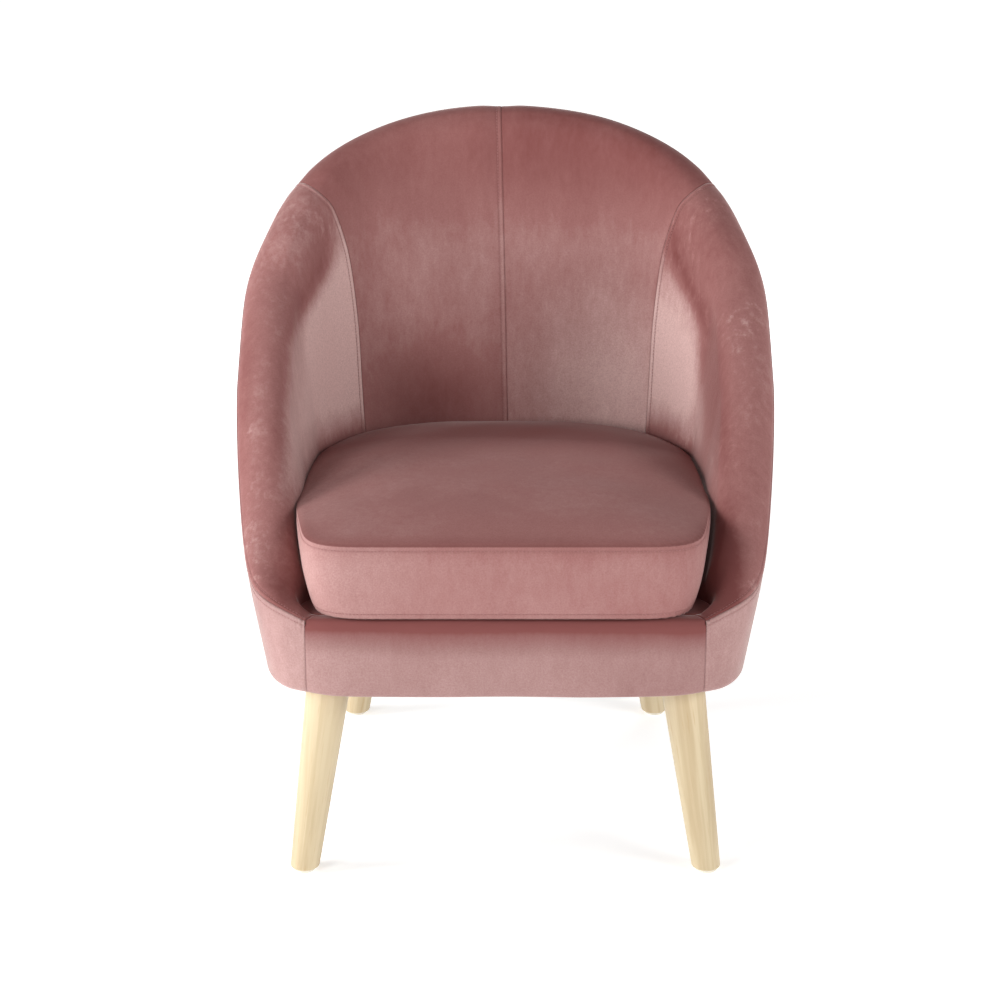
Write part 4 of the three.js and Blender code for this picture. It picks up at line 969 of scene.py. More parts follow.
# %% Cover the front rail
RAIL_TOP_LINES, RAIL_SHARED_LINES = 34, 6
rail_steps = seam_steps(FRONT_SEAM_X, first=False)
outer = outside_grid(rail_steps - 1)
over = np.linspace(0, 1, RAIL_TOP_LINES)
share = mix(-1, front_slant(over)[None], rail_steps[:, None])
angle = mix(rim(share)["seam_angle"], math.pi, over[None])
turned_over = roll_point(np.minimum(share, 0), angle)
rail_half = np.concatenate([outer[:, :-RAIL_SHARED_LINES], turned_over[:, 1:]], axis=1)
cover("front_rail_panel", "front_rail_cover", both_halves(rail_half, True), ("start", "end"), (),
      rail_velvet, nap=rail_shade, fill=0.9, puff=RAIL_PUFF, swell=RAIL_SWELL)
print("front rail panel of", 2 * rail_half.shape[0] - 1, "by", rail_half.shape[1], "points")

# %% [markdown]
# ## Deck
# Under the cushion lies a thin padded deck, covered like the rest. It can be seen when the cushion
# is lifted out, so it gets a rounded edge and a slight hollow where people sit. Its velvet is drawn
# deep, as painted shade for the gap under the cushion.

# %% Rings of points round the middle
MIDDLE = np.array([0.0, CENTRE_Y, 0.0])


def even_loop(points, count):
    """Points at even distances round a closed line, starting at its first point."""
    closed = np.concatenate([points, points[:1]])
    run = run_along(closed)
    return at_run(np.linspace(0, run[-1], count, endpoint=False), run, closed)


def loop_facing(loop):
    """The outward direction at each point of a level closed line that runs anticlockwise."""
    step = np.roll(loop, -1, axis=0) - np.roll(loop, 1, axis=0)
    facing = np.stack([step[:, 1], -step[:, 0], np.zeros(len(loop))], -1)
    return facing / np.linalg.norm(facing, axis=1, keepdims=True)


def closed_rings(name, rings, poles, finish, body):
    """A closed body from rings of points and the two poles that they close to."""
    count, around = rings.shape[:2]
    points = np.concatenate([poles[0][None], rings.reshape(-1, 3), poles[1][None]])
    index = np.arange(count * around).reshape(count, around) + 1
    turned = np.roll(index, -1, axis=1)
    faces = np.stack([index[:-1], index[1:], turned[1:], turned[:-1]], -1).reshape(-1, 4).tolist()
    faces += [[0, int(a), int(b)] for a, b in zip(index[0], turned[0])]
    last = len(points) - 1
    faces += [[last, int(b), int(a)] for a, b in zip(index[-1], turned[-1])]
    return add_piece(name, points, faces, finish, body)


def whole_loop(half, count):
    """A closed line from its right half, which runs from the front centre to the back."""
    return even_loop(np.concatenate([half, half[-2:0:-1] * (-1, 1, 1)]), count)


print("rings are drawn round", MIDDLE.round(4).tolist())

# %% Cover the deck
DECK_GAP, DECK_EDGE_RADIUS, DECK_HOLLOW, DECK_SHADE = 0.0003, 0.004, 0.0012, -0.6
DECK_STATIONS, DECK_RINGS, DECK_EDGE_RINGS, DECK_UNDER_RINGS = 300, 24, 6, (0.9, 0.5, 0.1)
DECK_TOP = DECK_HEIGHT - DECK_GAP
DECK_FIRST, DECK_LAST, FRONT_SHARES, SIDE_SHARES = 0.04, 0.96, 90, 300
ROUND_SHARES = np.linspace(-1, 0, FRONT_SHARES)[:-1]
ROUND_SHARES = np.concatenate([ROUND_SHARES, np.linspace(0, 1, SIDE_SHARES)])
deck_depth = inner_depth(ROUND_SHARES, PAD_FOOT) + DECK_GAP
deck_half = place(rim(ROUND_SHARES)["shoulder"], ROUND_SHARES, deck_depth, 0.0)
deck_loop = whole_loop(deck_half, DECK_STATIONS)
deck_facing = loop_facing(deck_loop)
deck_rings = []
for reach in np.linspace(DECK_FIRST, DECK_LAST, DECK_RINGS):
    height = DECK_TOP - DECK_HOLLOW * (1 - reach**2)
    deck_rings.append(mix(MIDDLE, deck_loop, reach) + (0, 0, height))
for angle in np.linspace(0, math.pi / 2, DECK_EDGE_RINGS):
    inset = DECK_EDGE_RADIUS * (1 - math.sin(angle))
    height = DECK_TOP - DECK_EDGE_RADIUS * (1 - math.cos(angle))
    deck_rings.append(deck_loop - deck_facing * inset + (0, 0, height))
deck_rings.append(deck_loop + (0, 0, PAD_FOOT))
for reach in DECK_UNDER_RINGS:
    deck_rings.append(mix(MIDDLE, deck_loop, reach) + (0, 0, PAD_FOOT))
poles = [MIDDLE + (0, 0, DECK_TOP - DECK_HOLLOW), MIDDLE + (0, 0, PAD_FOOT)]
deck = closed_rings("deck_panel", np.array(deck_rings), poles, back_velvet, "chair")
# The deck is drawn deep as painted shade.
mark(deck, nap=np.full(len(deck.data.vertices), DECK_SHADE))
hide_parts("deck_cloth", "deck_pad")
print("deck with", len(deck.data.polygons), "faces")

# %% [markdown]
# ## Seat cushion
# The cushion is a box cushion with a D-shaped plan: a top and a bottom panel and a band between
# them, filled with foam that is cut a little too large, so that it swells against its seams. It
# starts here with a low dome, is blown up as cloth with its seams held, and a few millimetres of
# the result are kept. Then it gets finer lines, the dip of each seam, the row of topstitching on
# the band and the little gathers that the curved corners force into the cloth.

# %% Plan of the cushion
CUSHION_THICKNESS, CUSHION_FOOT = 0.0915, DECK_HEIGHT + DECK_GAP
CUSHION_CLEARANCE, CUSHION_FRONT_GAP, CUSHION_CORNER_RADIUS = 0.0045, 0.001, 0.040
CUSHION_SIDE_START, CUSHION_UNDERCUT = 0.22, 0.0032
BAND_TOP, BAND_FOOT = DECK_HEIGHT + CUSHION_THICKNESS, CUSHION_FOOT + CUSHION_UNDERCUT
TOP_CORNER_WIDTH, FOOT_CORNER_WIDTH = 0.2270, 0.2180
SIM_STATIONS, FINER, PLAN_PASSES, CALM_PLAN_PASSES = 192, 3, 10, 500
FRONT_POINTS, CORNER_POINTS, SIDE_POINTS = 39, 30, 240


def cushion_plan(height, corner_x):
    """The cushion's outline at a height: it follows the arms there and has round front corners."""
    front = CUSHION_FRONT_GAP - OVERALL_DEPTH / 2
    shares = np.linspace(CUSHION_SIDE_START, 1, SIDE_POINTS)
    depth = inner_depth(shares, height) + CUSHION_CLEARANCE
    side = place(rim(shares)["shoulder"], shares, depth, 0.0)
    turn = np.linspace(-math.pi / 2, 0, CORNER_POINTS)
    corner = np.stack([np.cos(turn), np.sin(turn), 0 * turn], -1) * CUSHION_CORNER_RADIUS
    corner = corner + (corner_x - CUSHION_CORNER_RADIUS, front + CUSHION_CORNER_RADIUS, 0)
    edge = np.zeros((FRONT_POINTS, 3))
    edge[:, 0] = np.linspace(0, corner[0, 0], FRONT_POINTS, endpoint=False)
    edge[:, 1] = front
    loop = calmed(whole_loop(np.concatenate([edge, corner, side]), SIM_STATIONS), PLAN_PASSES)
    loop[:, 1] -= loop[:, 1].min() - front
    return loop


top_plan = cushion_plan(BAND_TOP, TOP_CORNER_WIDTH)
foot_plan = cushion_plan(DECK_HEIGHT, FOOT_CORNER_WIDTH)
plan_facing = loop_facing(top_plan)
calm_plan = calmed(top_plan, CALM_PLAN_PASSES)
print("the cushion's upper seam is", round(float(run_round(top_plan)[-1]), 3), "m round")

# %% Shape before it is blown up
START_CROWN, FRONT_POWER, REAR_POWER, TOP_RINGS, BAND_RINGS = 0.0225, 3.4, 11, 15, 9
START_BELLY, BELLY_POWER, HELD_BELLY_SHARE, HELD_FROM, HELD_REACH = 0.0045, 0.8, 0.3, -0.10, 0.10
RING_POWER, CALM_POWER, UNDERCUT_POWER, TAPER_POWER = 0.7, 3, 9, 1.6
REAR_POWER_FROM, REAR_POWER_REACH = -0.22, 0.34


def freedom(points):
    """1 at the front of the cushion, which can swell, and less where the arms and back hold it."""
    return mix(HELD_BELLY_SHARE, 1, past(points[..., 1:2], HELD_FROM, -HELD_REACH))


def cushion_start():
    """Three grids of rings: the top from its middle out, the band downwards, the bottom inwards."""
    reach = np.linspace(0, 1, TOP_RINGS + 1)[1:] ** RING_POWER
    rear = past(top_plan[:, 1], REAR_POWER_FROM, REAR_POWER_REACH)
    power = mix(FRONT_POWER, REAR_POWER, rear)
    top = []
    for share in reach:
        ring = mix(MIDDLE, mix(calm_plan, top_plan, share**CALM_POWER), share)
        ring[:, 2] = BAND_TOP + START_CROWN * (1 - share**power)
        top.append(ring)
    band = []
    for fall in np.linspace(0, 1, BAND_RINGS):
        out = START_BELLY * math.sin(math.pi * fall) ** BELLY_POWER
        ring = mix(top_plan, foot_plan, fall**TAPER_POWER) + plan_facing * out * freedom(top_plan)
        band.append(ring + (0, 0, mix(BAND_TOP, BAND_FOOT, fall)))
    bottom = []
    for share in reach:
        height = CUSHION_FOOT + CUSHION_UNDERCUT * share**UNDERCUT_POWER
        bottom.append(mix(MIDDLE, foot_plan, share) + (0, 0, height))
    return np.array(top), np.array(band), np.array(bottom[::-1])


top, band, bottom = cushion_start()
start_rings = np.concatenate([top, band[1:-1], bottom])
start_poles = [MIDDLE + (0, 0, BAND_TOP + START_CROWN), MIDDLE + (0, 0, CUSHION_FOOT)]
print(start_rings.shape[0], "rings of", start_rings.shape[1], "points")

# %% Blow it up against its seams
PRESSURE, BLOW_FRAMES, MOST_SWELL, CALM_PASSES, CUSHION_SHIFT = 4.0, 20, 0.0045, 24, -0.0025
CLOTH_SETTINGS = {
    "quality": 6, "mass": 0.3, "tension_stiffness": 22, "compression_stiffness": 22,
    "shear_stiffness": 8, "bending_stiffness": 1.2, "use_pressure": True,
    "uniform_pressure_force": PRESSURE,
}
swollen, swollen_poles = start_rings, start_poles

foam = closed_rings("blown_cushion", start_rings, start_poles, cushion_velvet, "seat_cushion")
seams = foam.vertex_groups.new(name="seams")
held = [TOP_RINGS - 1, TOP_RINGS + BAND_RINGS - 2]
held_points = [1 + ring * SIM_STATIONS + k for ring in held for k in range(SIM_STATIONS)]
seams.add(held_points, 1.0, "REPLACE")
blown = foam.modifiers.new("blown", "CLOTH")
for setting, value in CLOTH_SETTINGS.items():
    setattr(blown.settings, setting, value)
blown.settings.vertex_group_mass = "seams"
blown.settings.effector_weights.gravity = 0
blown.point_cache.frame_start, blown.point_cache.frame_end = 1, BLOW_FRAMES
for step in range(1, BLOW_FRAMES + 1):
    bpy.context.scene.frame_set(step)
shaped = foam.evaluated_get(bpy.context.evaluated_depsgraph_get())
found = np.zeros(len(shaped.data.vertices) * 3, np.float32)
shaped.data.vertices.foreach_get("co", found)
found = found.reshape(-1, 3).astype(float)
swollen = found[1:-1].reshape(start_rings.shape)
swollen_poles = [found[0], found[-1]]
bpy.data.objects.remove(foam)
bpy.context.scene.frame_set(1)

moved = swollen - start_rings
far = np.linalg.norm(moved, axis=-1, keepdims=True)
moved = moved * np.tanh(far / MOST_SWELL) * MOST_SWELL / np.maximum(far, 1e-9)
swollen = start_rings + calmed(moved, CALM_PASSES, axis=1) * freedom(start_rings) ** (1, 1, 0)
swollen[..., 2] = np.maximum(swollen[..., 2], CUSHION_FOOT)
swollen += (CUSHION_SHIFT, 0, 0)
swollen_poles = [
    start + np.clip(pole - start, -MOST_SWELL, MOST_SWELL) + (CUSHION_SHIFT, 0, 0)
    for start, pole in zip(start_poles, swollen_poles)
]
swollen_poles[1][2] = CUSHION_FOOT
print("most that the pressure moved it:", round(float(far.max()) * 1000, 1), "mm")

# %% Finer lines, panel by panel
TOP_ROWS, BAND_ROWS, BOTTOM_ROWS = 4, 5, 3


def finer(grid, factor, closed):
    """The grid with more lines along its first axis, on smooth curves through its points."""
    count = len(grid)
    stops = np.arange(0, count if closed else count - 1 + 1e-9, 1 / factor)
    i = np.minimum(stops.astype(int), count - 1 if closed else count - 2)
    share = (stops - i).reshape(-1, *[1] * (grid.ndim - 1))
    if closed:
        around = (grid[(i + k) % count] for k in (-1, 0, 1, 2))
    else:
        ends = np.concatenate([[2 * grid[0] - grid[1]], grid, [2 * grid[-1] - grid[-2]]])
        around = (ends[i + k] for k in range(4))
    return curve_through(*around, share)


def finer_panel(rings, rows):
    """A panel with more rings and more points on each ring."""
    return np.swapaxes(finer(np.swapaxes(finer(rings, rows, False), 0, 1), FINER, True), 0, 1)


def ring_directions(rings):
    """The outward direction of each point of a stack of rings that runs from the top down."""
    down = np.gradient(rings, axis=0)
    round_step = (np.roll(rings, -1, axis=1) - np.roll(rings, 1, axis=1)) / 2
    facing = np.cross(down, round_step)
    return facing / np.maximum(np.linalg.norm(facing, axis=-1, keepdims=True), 1e-12)


panels = {
    "top": finer_panel(swollen[:TOP_RINGS], TOP_ROWS),
    "band": finer_panel(swollen[TOP_RINGS - 1 : TOP_RINGS + BAND_RINGS - 1], BAND_ROWS),
    "bottom": finer_panel(swollen[TOP_RINGS + BAND_RINGS - 2 :], BOTTOM_ROWS),
}
seam_run = run_round(panels["band"][0])
print("panels of", [panel.shape[:2] for panel in panels.values()], "points")

# %% Gathers, creases, and painted light and shade
GATHER_LENGTH, GATHER_REACH, GATHER_WANDER, GATHER_WANDER_LENGTH = 0.0095, 0.010, 1.6, 0.05
GATHER_ROUND, GATHER_CORNER, GATHER_LEFT_SHARE = 0.00012, 0.0007, 0.3
CORNER_X, CORNER_Y, CORNER_REACH = 0.205, -0.285, 0.045
CUSHION_SEAM_DIP, CUSHION_SEAM_WIDTH = 0.0012, 0.0042
CUSHION_RIPPLE, CUSHION_RIPPLE_LENGTH = 0.0004, 0.09
# Painted shade on the cushion's top, and painted light and sheen on its band.
TOP_SHADE, TOP_PATCH_SHADOW, TOP_REAR_SHADE, FRONT_EDGE_SHADE = -0.02, -0.50, -1.1, -0.30
TOP_PATCH = ((0.14, 0.10, BAND_TOP), (0.12, 0.11, 0.05))
BAND_LIGHT, BAND_LIGHT_FALL, BAND_END_SHEEN = 0.08, 0.42, 0.08


def gathers(points, away):
    """Small folds that run square to a seam, strongest where it turns the front corners."""
    wander = GATHER_WANDER * ripple(points, GATHER_WANDER_LENGTH)
    fold = np.sin(seam_run[None, :] * 2 * math.pi / GATHER_LENGTH + wander)
    off = np.hypot(np.abs(points[..., 0]) - CORNER_X, points[..., 1] - CORNER_Y)
    corner = bell(off, CORNER_REACH) * np.where(points[..., 0] > 0, 1.0, GATHER_LEFT_SHARE)
    return fold * np.exp(-away / GATHER_REACH) * (GATHER_ROUND + GATHER_CORNER * corner)


def cushion_top_shade(points, away):
    """Painted shade: deep at the back, a painted shadow in a patch on the right, and a little along
    the front edge where the top turns over.
    """
    nap = TOP_SHADE + TOP_PATCH_SHADOW * patch(points, *TOP_PATCH)
    nap = nap + TOP_REAR_SHADE * past(points[..., 1], -0.03, 0.15)
    return nap + FRONT_EDGE_SHADE * bell(away, 0.016) * past(points[..., 1], -0.2, -0.05)


def band_light(points):
    """Painted light: paler than the top, most to the left towards the main lamp, and a painted
    sheen round the front corners.
    """
    nap = BAND_LIGHT * past(points[..., 2], BAND_TOP - 0.004, -0.022) - BAND_LIGHT_FALL * points[..., 0]
    return nap + BAND_END_SHEEN * past(np.abs(points[..., 0] - CUSHION_SHIFT), 0.205, 0.02)


def stitch_line(panel, facing):
    """The places and directions at the stitches' distance from the first ring of a panel."""
    span = np.linalg.norm(np.diff(panel, axis=0), axis=-1).cumsum(0)
    rows = [int(np.searchsorted(span[:, k], STITCH_INSET)) + 1 for k in range(panel.shape[1])]
    line = [(panel[i, k], facing[i, k]) for k, i in enumerate(rows)]
    return np.array(line + line[:1])


print("the cushion's front corners lie", CORNER_X, "m from the middle")

# %% Sew the cushion
sewn_panels, dark_panels, painted_light_panels, thread_loops = [], [], [], []
for name, rings in panels.items():
    step = np.linalg.norm(np.diff(rings, axis=0), axis=-1)
    run = np.concatenate([np.zeros_like(step[:1]), step.cumsum(0)])
    away = {"top": run[-1:] - run, "bottom": run, "band": np.minimum(run, run[-1:] - run)}[name]
    facing = ring_directions(rings)
    proud = CUSHION_RIPPLE * ripple(rings, CUSHION_RIPPLE_LENGTH) * smooth(away / PUFF_REACH)
    proud += gathers(rings, away)
    proud -= CUSHION_SEAM_DIP * np.clip(1 - away / CUSHION_SEAM_WIDTH, 0, 1) ** 2
    # Painted shade in each seam, and along the band's row of stitches.
    dark = CREASE_DEPTH_SHARE * bell(away, CREASE_WIDTH)
    if name == "band":
        row = bell(away - STITCH_INSET, STITCH_SPREAD)
        proud -= STITCH_DIP * row
        dark = np.maximum(dark, STITCH_MARK_SHARE * row)
    shaped = rings + facing * proud[..., None]
    shaped[..., 2] = np.maximum(shaped[..., 2], CUSHION_FOOT)
    if name == "band":
        thread_loops += [stitch_line(shaped, facing), stitch_line(shaped[::-1], facing[::-1])]
    sewn_panels.append(shaped)
    dark_panels.append(dark)
    painted_light_panels.append(band_light(rings) if name == "band" else cushion_top_shade(rings, away))


def joined(kinds):
    """The three panels as one stack, without the rings that they share."""
    return np.concatenate([kinds[0], kinds[1][1:], kinds[2][1:]])


rings = joined(sewn_panels)
cushion = closed_rings("seat_cushion_cover", rings, swollen_poles, cushion_velvet, "seat_cushion")
dark, nap = joined(dark_panels).ravel(), joined(painted_light_panels).ravel()
mark(cushion, crease=[0.0, *dark, 0.0], nap=[TOP_SHADE, *nap, TOP_SHADE])
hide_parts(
    "cushion_top_panel", "cushion_bottom_panel", "cushion_band", "cushion_zip_panel"
)
print("cushion of", len(cushion.data.polygons), "faces, up to", round(rings[..., 2].max(), 4))

# %% [markdown]
# ## Stitches
# Beside each seam runs a row of topstitching, which holds the folded cloth underneath flat. Each
# stitch is a short bowed thread whose ends dive into the pile. One stitch is a tube of a few
# faces, and it is laid along every row that was measured while the panels were sewn.

# %% Lay the threads
STITCH_LENGTH, STITCH_PITCH, THREAD_RADIUS, THREAD_SIDES = 0.0030, 0.0041, 0.00034, 5
THREAD_STOPS = STITCH_LENGTH * np.array([0, 0.18, 0.82, 1.0])
THREAD_BOW = THREAD_RADIUS * np.array([-1.1, 0.75, 0.75, -1.1])[:, None]
THREAD_TURNS = np.arange(THREAD_SIDES) * 2 * math.pi / THREAD_SIDES
THREAD_FACES = []
for low in range(0, 3 * THREAD_SIDES, THREAD_SIDES):
    for k in range(THREAD_SIDES):
        a, b = low + k, low + (k + 1) % THREAD_SIDES
        THREAD_FACES.append([a, b, b + THREAD_SIDES, a + THREAD_SIDES])
THREAD_FACES.append(list(reversed(range(THREAD_SIDES))))
THREAD_FACES.append(list(range(3 * THREAD_SIDES, 4 * THREAD_SIDES)))
cotton = Finish("sewing_thread", Base_Color=(0.30, 0.115, 0.105, 1.0), Roughness=0.55)
twist = cotton.noise(cotton.coordinates(), 900.0, detail=1.0)
cotton.set("Base Color", cotton.blend(twist, (0.24, 0.09, 0.085), (0.42, 0.19, 0.18)))


def edit(piece):
    """Opens one piece for modelling, with nothing selected."""
    bpy.ops.object.select_all(action="DESELECT")
    piece.select_set(True)
    bpy.context.view_layer.objects.active = piece
    bpy.ops.object.mode_set(mode="EDIT")
    bpy.ops.mesh.select_all(action="DESELECT")
    return bmesh.from_edit_mesh(piece.data)


def stitch(start, run, spots, facing):
    """The points of one thread, as rings round a short line that dives in at both ends."""
    line, up = (at_run(start + THREAD_STOPS, run, kind) for kind in (spots, facing))
    up /= np.linalg.norm(up, axis=1, keepdims=True)
    ahead = line[-1] - line[0]
    side = np.cross(up, ahead / np.linalg.norm(ahead))
    spokes = [up * math.sin(turn) + side * math.cos(turn) for turn in THREAD_TURNS]
    rings = (line + up * THREAD_BOW)[:, None] + np.stack(spokes, 1) * THREAD_RADIUS
    return rings.reshape(-1, 3)


def stitch_row(name, rows, body):
    """One piece of many short threads, laid end to end along the rows."""
    points, faces = [], []
    for row in rows:
        spots, facing = row[:, 0], row[:, 1]
        run = run_along(spots)
        for start in np.arange(0, run[-1] - STITCH_LENGTH, STITCH_PITCH):
            faces += [[len(points) + k for k in face] for face in THREAD_FACES]
            points += stitch(start, run, spots, facing).tolist()
    edit(add_piece(name, points, faces, cotton.material, body))
    bpy.ops.mesh.select_all(action="SELECT")
    bpy.ops.mesh.normals_make_consistent(inside=False)
    bpy.ops.object.mode_set(mode="OBJECT")
    print(name, "has", len(faces) // len(THREAD_FACES), "stitches")


stitch_row("shell_topstitching", threads, "chair")
stitch_row("cushion_topstitching", thread_loops, "seat_cushion")

# %% [markdown]
# ## Legs
# The legs are turned from a pale hardwood: a plain taper with a softened top and foot. A cone is
# added upright, its rims are bevelled, as a turner would break the edges, and three more rings are
# cut round it. Its grain is written down as an attribute while it still stands upright, and then
# the cone is leaned outwards, so the grain follows the wood.

# %% Mix the wood
wood = Finish("pale_leg_wood", Roughness=0.42, Coat_Weight=0.12, Coat_Roughness=0.35,
              Specular_IOR_Level=0.4)
grain_place = wood.attribute("grain")
long_grain = wood.node("Mapping", Vector=grain_place, Scale=(1.0, 1.0, 0.035))
rings_of_growth = wood.noise(long_grain, 62.0, detail=4.0, roughness=0.55, distortion=0.7)
pores = wood.noise(long_grain, 420.0, detail=2.0, roughness=0.6)
fine_pores = pores.steps(0.60, 0.74)
tone = wood.blend(rings_of_growth.steps(0.38, 0.66), (0.64, 0.525, 0.34), (0.53, 0.41, 0.245))
tone = wood.blend(fine_pores * 0.42, tone, (0.48, 0.31, 0.15))
wood.set("Base Color", tone)
wood.set("Roughness", 0.38 + 0.16 * pores)
wood.bump(pores * 0.7 + rings_of_growth * 0.3, distance=0.0003, strength=0.35)
print("wood of", len(wood.material.node_tree.nodes), "nodes")

# %% Turn the legs
LEG_TOP, LEG_FOOT = 0.2336, 0.0043
LEG_TOP_RADIUS, LEG_FOOT_RADIUS, LEG_INSET, LEG_SIDES = 0.026, 0.017, 0.052, 64
LEG_EDGE, LEG_RINGS, SMOOTH_BELOW = 0.003, (0.25, 0.5, 0.75), math.radians(40)
GRAIN_BY_END, GRAIN_BY_SIDE = Vector((0.31, 0.17, 0)), Vector((0.11, 0, 0.4))
LEGS = {
    "front": {"share": -0.02, "out": 0.033, "along": -0.019},
    "rear": {"share": 0.715, "out": 0.035, "along": 0.029},
}


def pick(piece, shape, parts, wanted):
    """Selects the parts that a rule wants."""
    for part in parts:
        part.select_set(bool(wanted(part)))
    shape.select_flush_mode()
    bmesh.update_edit_mesh(piece.data)


def level_rim(low, high):
    """A rule for the edges that run round a turned piece at its two ends."""

    def rule(edge):
        heights = [vertex.co.z for vertex in edge.verts]
        flat = abs(heights[0] - heights[1]) < 1e-6
        sharp = len(edge.link_faces) == 2 and edge.calc_face_angle(0.0) > 1.0
        return flat and sharp and (heights[0] < low or heights[0] > high)

    return rule


def finished(piece, name, body, finish):
    """The modelled piece with its name, its finish and the body that it rides."""
    bpy.ops.object.mode_set(mode="OBJECT")
    piece.name = piece.data.name = name
    piece.data.materials.clear()
    piece.data.materials.append(finish)
    bpy.ops.object.shade_smooth_by_angle(angle=SMOOTH_BELOW)
    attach(piece, body)
    return piece


def lean(piece, leg, sign):
    """Leans an upright turned piece along the slant of its leg, keeping its ends level."""
    head = place(BASE_HEIGHT, leg["share"], LEG_INSET, LEG_TOP)
    slant = Matrix.Identity(4)
    slant[0][2], slant[1][2] = -leg["out"] / LEG_TOP, -leg["along"] / LEG_TOP
    slant[0][3], slant[1][3] = head[0] + leg["out"], head[1] + leg["along"]
    piece.data.transform(slant)
    if sign < 0:
        piece.data.transform(Matrix.Scale(-1, 4, (1, 0, 0)))
        piece.data.flip_normals()
    piece.data.update()


def turn_leg():
    """An upright leg with softened rims and three more rings along its taper."""
    bpy.ops.object.select_all(action="DESELECT")
    height = LEG_TOP - LEG_FOOT
    bpy.ops.mesh.primitive_cone_add(
        vertices=LEG_SIDES, radius1=LEG_FOOT_RADIUS, radius2=LEG_TOP_RADIUS, depth=height,
        location=(0, 0, 0),
    )
    leg = bpy.context.object
    leg.data.transform(Matrix.Translation((0, 0, LEG_FOOT + height / 2)))
    shape = edit(leg)
    bpy.ops.mesh.select_mode(type="EDGE")
    pick(leg, shape, shape.edges, level_rim(LEG_FOOT + 1e-4, LEG_TOP - 1e-4))
    bpy.ops.mesh.bevel(offset=LEG_EDGE, segments=5, affect="EDGES")
    for share in LEG_RINGS:
        bpy.ops.mesh.select_all(action="SELECT")
        bpy.ops.mesh.bisect(
            plane_co=(0, 0, mix(LEG_FOOT, LEG_TOP, share)), plane_no=(0, 0, 1), use_fill=False
        )
    return leg


def write_grain(piece, shift):
    """Keeps the place that each point had in the log, moved so that no two legs match."""
    grain = piece.data.attributes.new("grain", "FLOAT_VECTOR", "POINT")
    for point, vertex in zip(grain.data, piece.data.vertices):
        point.vector = vertex.co + shift


for number, (end, leg) in enumerate(LEGS.items()):
    for side, sign in (("left", -1), ("right", 1)):
        piece = finished(turn_leg(), f"turned_leg_{end}_{side}", "chair", wood.material)
        write_grain(piece, GRAIN_BY_END * number + GRAIN_BY_SIDE * sign)
        lean(piece, leg, sign)
        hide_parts(f"leg_{end}_{side}")
print("four legs of", len(piece.data.polygons), "faces each")

# %% [markdown]
# ## Glides
# A small nylon disc is nailed under each foot, so that the wood doesn't scratch the floor. It is a
# short cylinder with a rounded lower rim and a shallow hollow for the head of its nail.

# %% Make the glides
GLIDE_RADIUS, GLIDE_HEIGHT, GLIDE_HOLLOW, GLIDE_EDGE = 0.0125, 0.004, 0.0006, 0.0012
GLIDE_RIM = GLIDE_RADIUS * 0.62
nylon = Finish("pale_nylon", Base_Color=(0.77, 0.74, 0.66, 1.0), Roughness=0.5)
scuff = nylon.noise(nylon.coordinates(), 260.0, detail=3.0)
scuffed = scuff.steps(0.5, 0.7) * 0.4
nylon.set("Base Color", nylon.blend(scuffed, (0.79, 0.76, 0.68), (0.60, 0.57, 0.50)))
nylon.set("Roughness", 0.42 + 0.2 * scuff)


def press_glide():
    """A short upright cylinder with a hollow foot and a rounded lower rim."""
    bpy.ops.object.select_all(action="DESELECT")
    bpy.ops.mesh.primitive_cylinder_add(
        vertices=48, radius=GLIDE_RADIUS, depth=GLIDE_HEIGHT, location=(0, 0, 0)
    )
    glide = bpy.context.object
    glide.data.transform(Matrix.Translation((0, 0, GLIDE_HEIGHT / 2)))
    shape = edit(glide)
    bpy.ops.mesh.select_mode(type="FACE")
    pick(glide, shape, shape.faces, lambda face: face.normal.z < -0.9)
    bpy.ops.mesh.inset(thickness=GLIDE_RIM)
    bpy.ops.mesh.inset(thickness=GLIDE_HOLLOW)
    bpy.ops.transform.translate(value=(0, 0, GLIDE_HOLLOW))
    bpy.ops.mesh.select_mode(type="EDGE")
    shape = bmesh.from_edit_mesh(glide.data)
    pick(glide, shape, shape.edges, level_rim(1e-5, 1.0))
    bpy.ops.mesh.bevel(offset=GLIDE_EDGE, segments=3, affect="EDGES")
    return glide


for end, leg in LEGS.items():
    for side, sign in (("left", -1), ("right", 1)):
        piece = finished(press_glide(), f"nylon_glide_{end}_{side}", "chair", nylon.material)
        lean(piece, leg, sign)
        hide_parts(f"glide_{end}_{side}")
print("glides of", len(piece.data.polygons), "faces each")

# %% [markdown]
# ## Zip
# The cover comes off for washing through a zip in the back of the band. Its teeth are small
# moulded blocks in two rows that bite past each other, and the slider is a little steel wedge with
# a pull. One tooth is shaped by hand and copied along the band.

# %% Mix the zip's steel and teeth
steel = Finish("brushed_zinc", Metallic=1.0, Roughness=0.34)
brushed = steel.noise(steel.coordinates((1, 1, 12)), 300.0, detail=2.0)
steel.set("Base Color", steel.blend(brushed, (0.50, 0.51, 0.53), (0.66, 0.66, 0.67)))
steel.set("Roughness", 0.26 + 0.2 * brushed)
tape = Finish("zip_teeth", Base_Color=(0.28, 0.11, 0.10, 1.0), Roughness=0.45)
tape_tone = tape.noise(tape.coordinates(), 500.0)
tape.set("Base Color", tape.blend(tape_tone, (0.24, 0.09, 0.085), (0.36, 0.15, 0.14)))
print("steel of", len(steel.material.node_tree.nodes), "nodes")

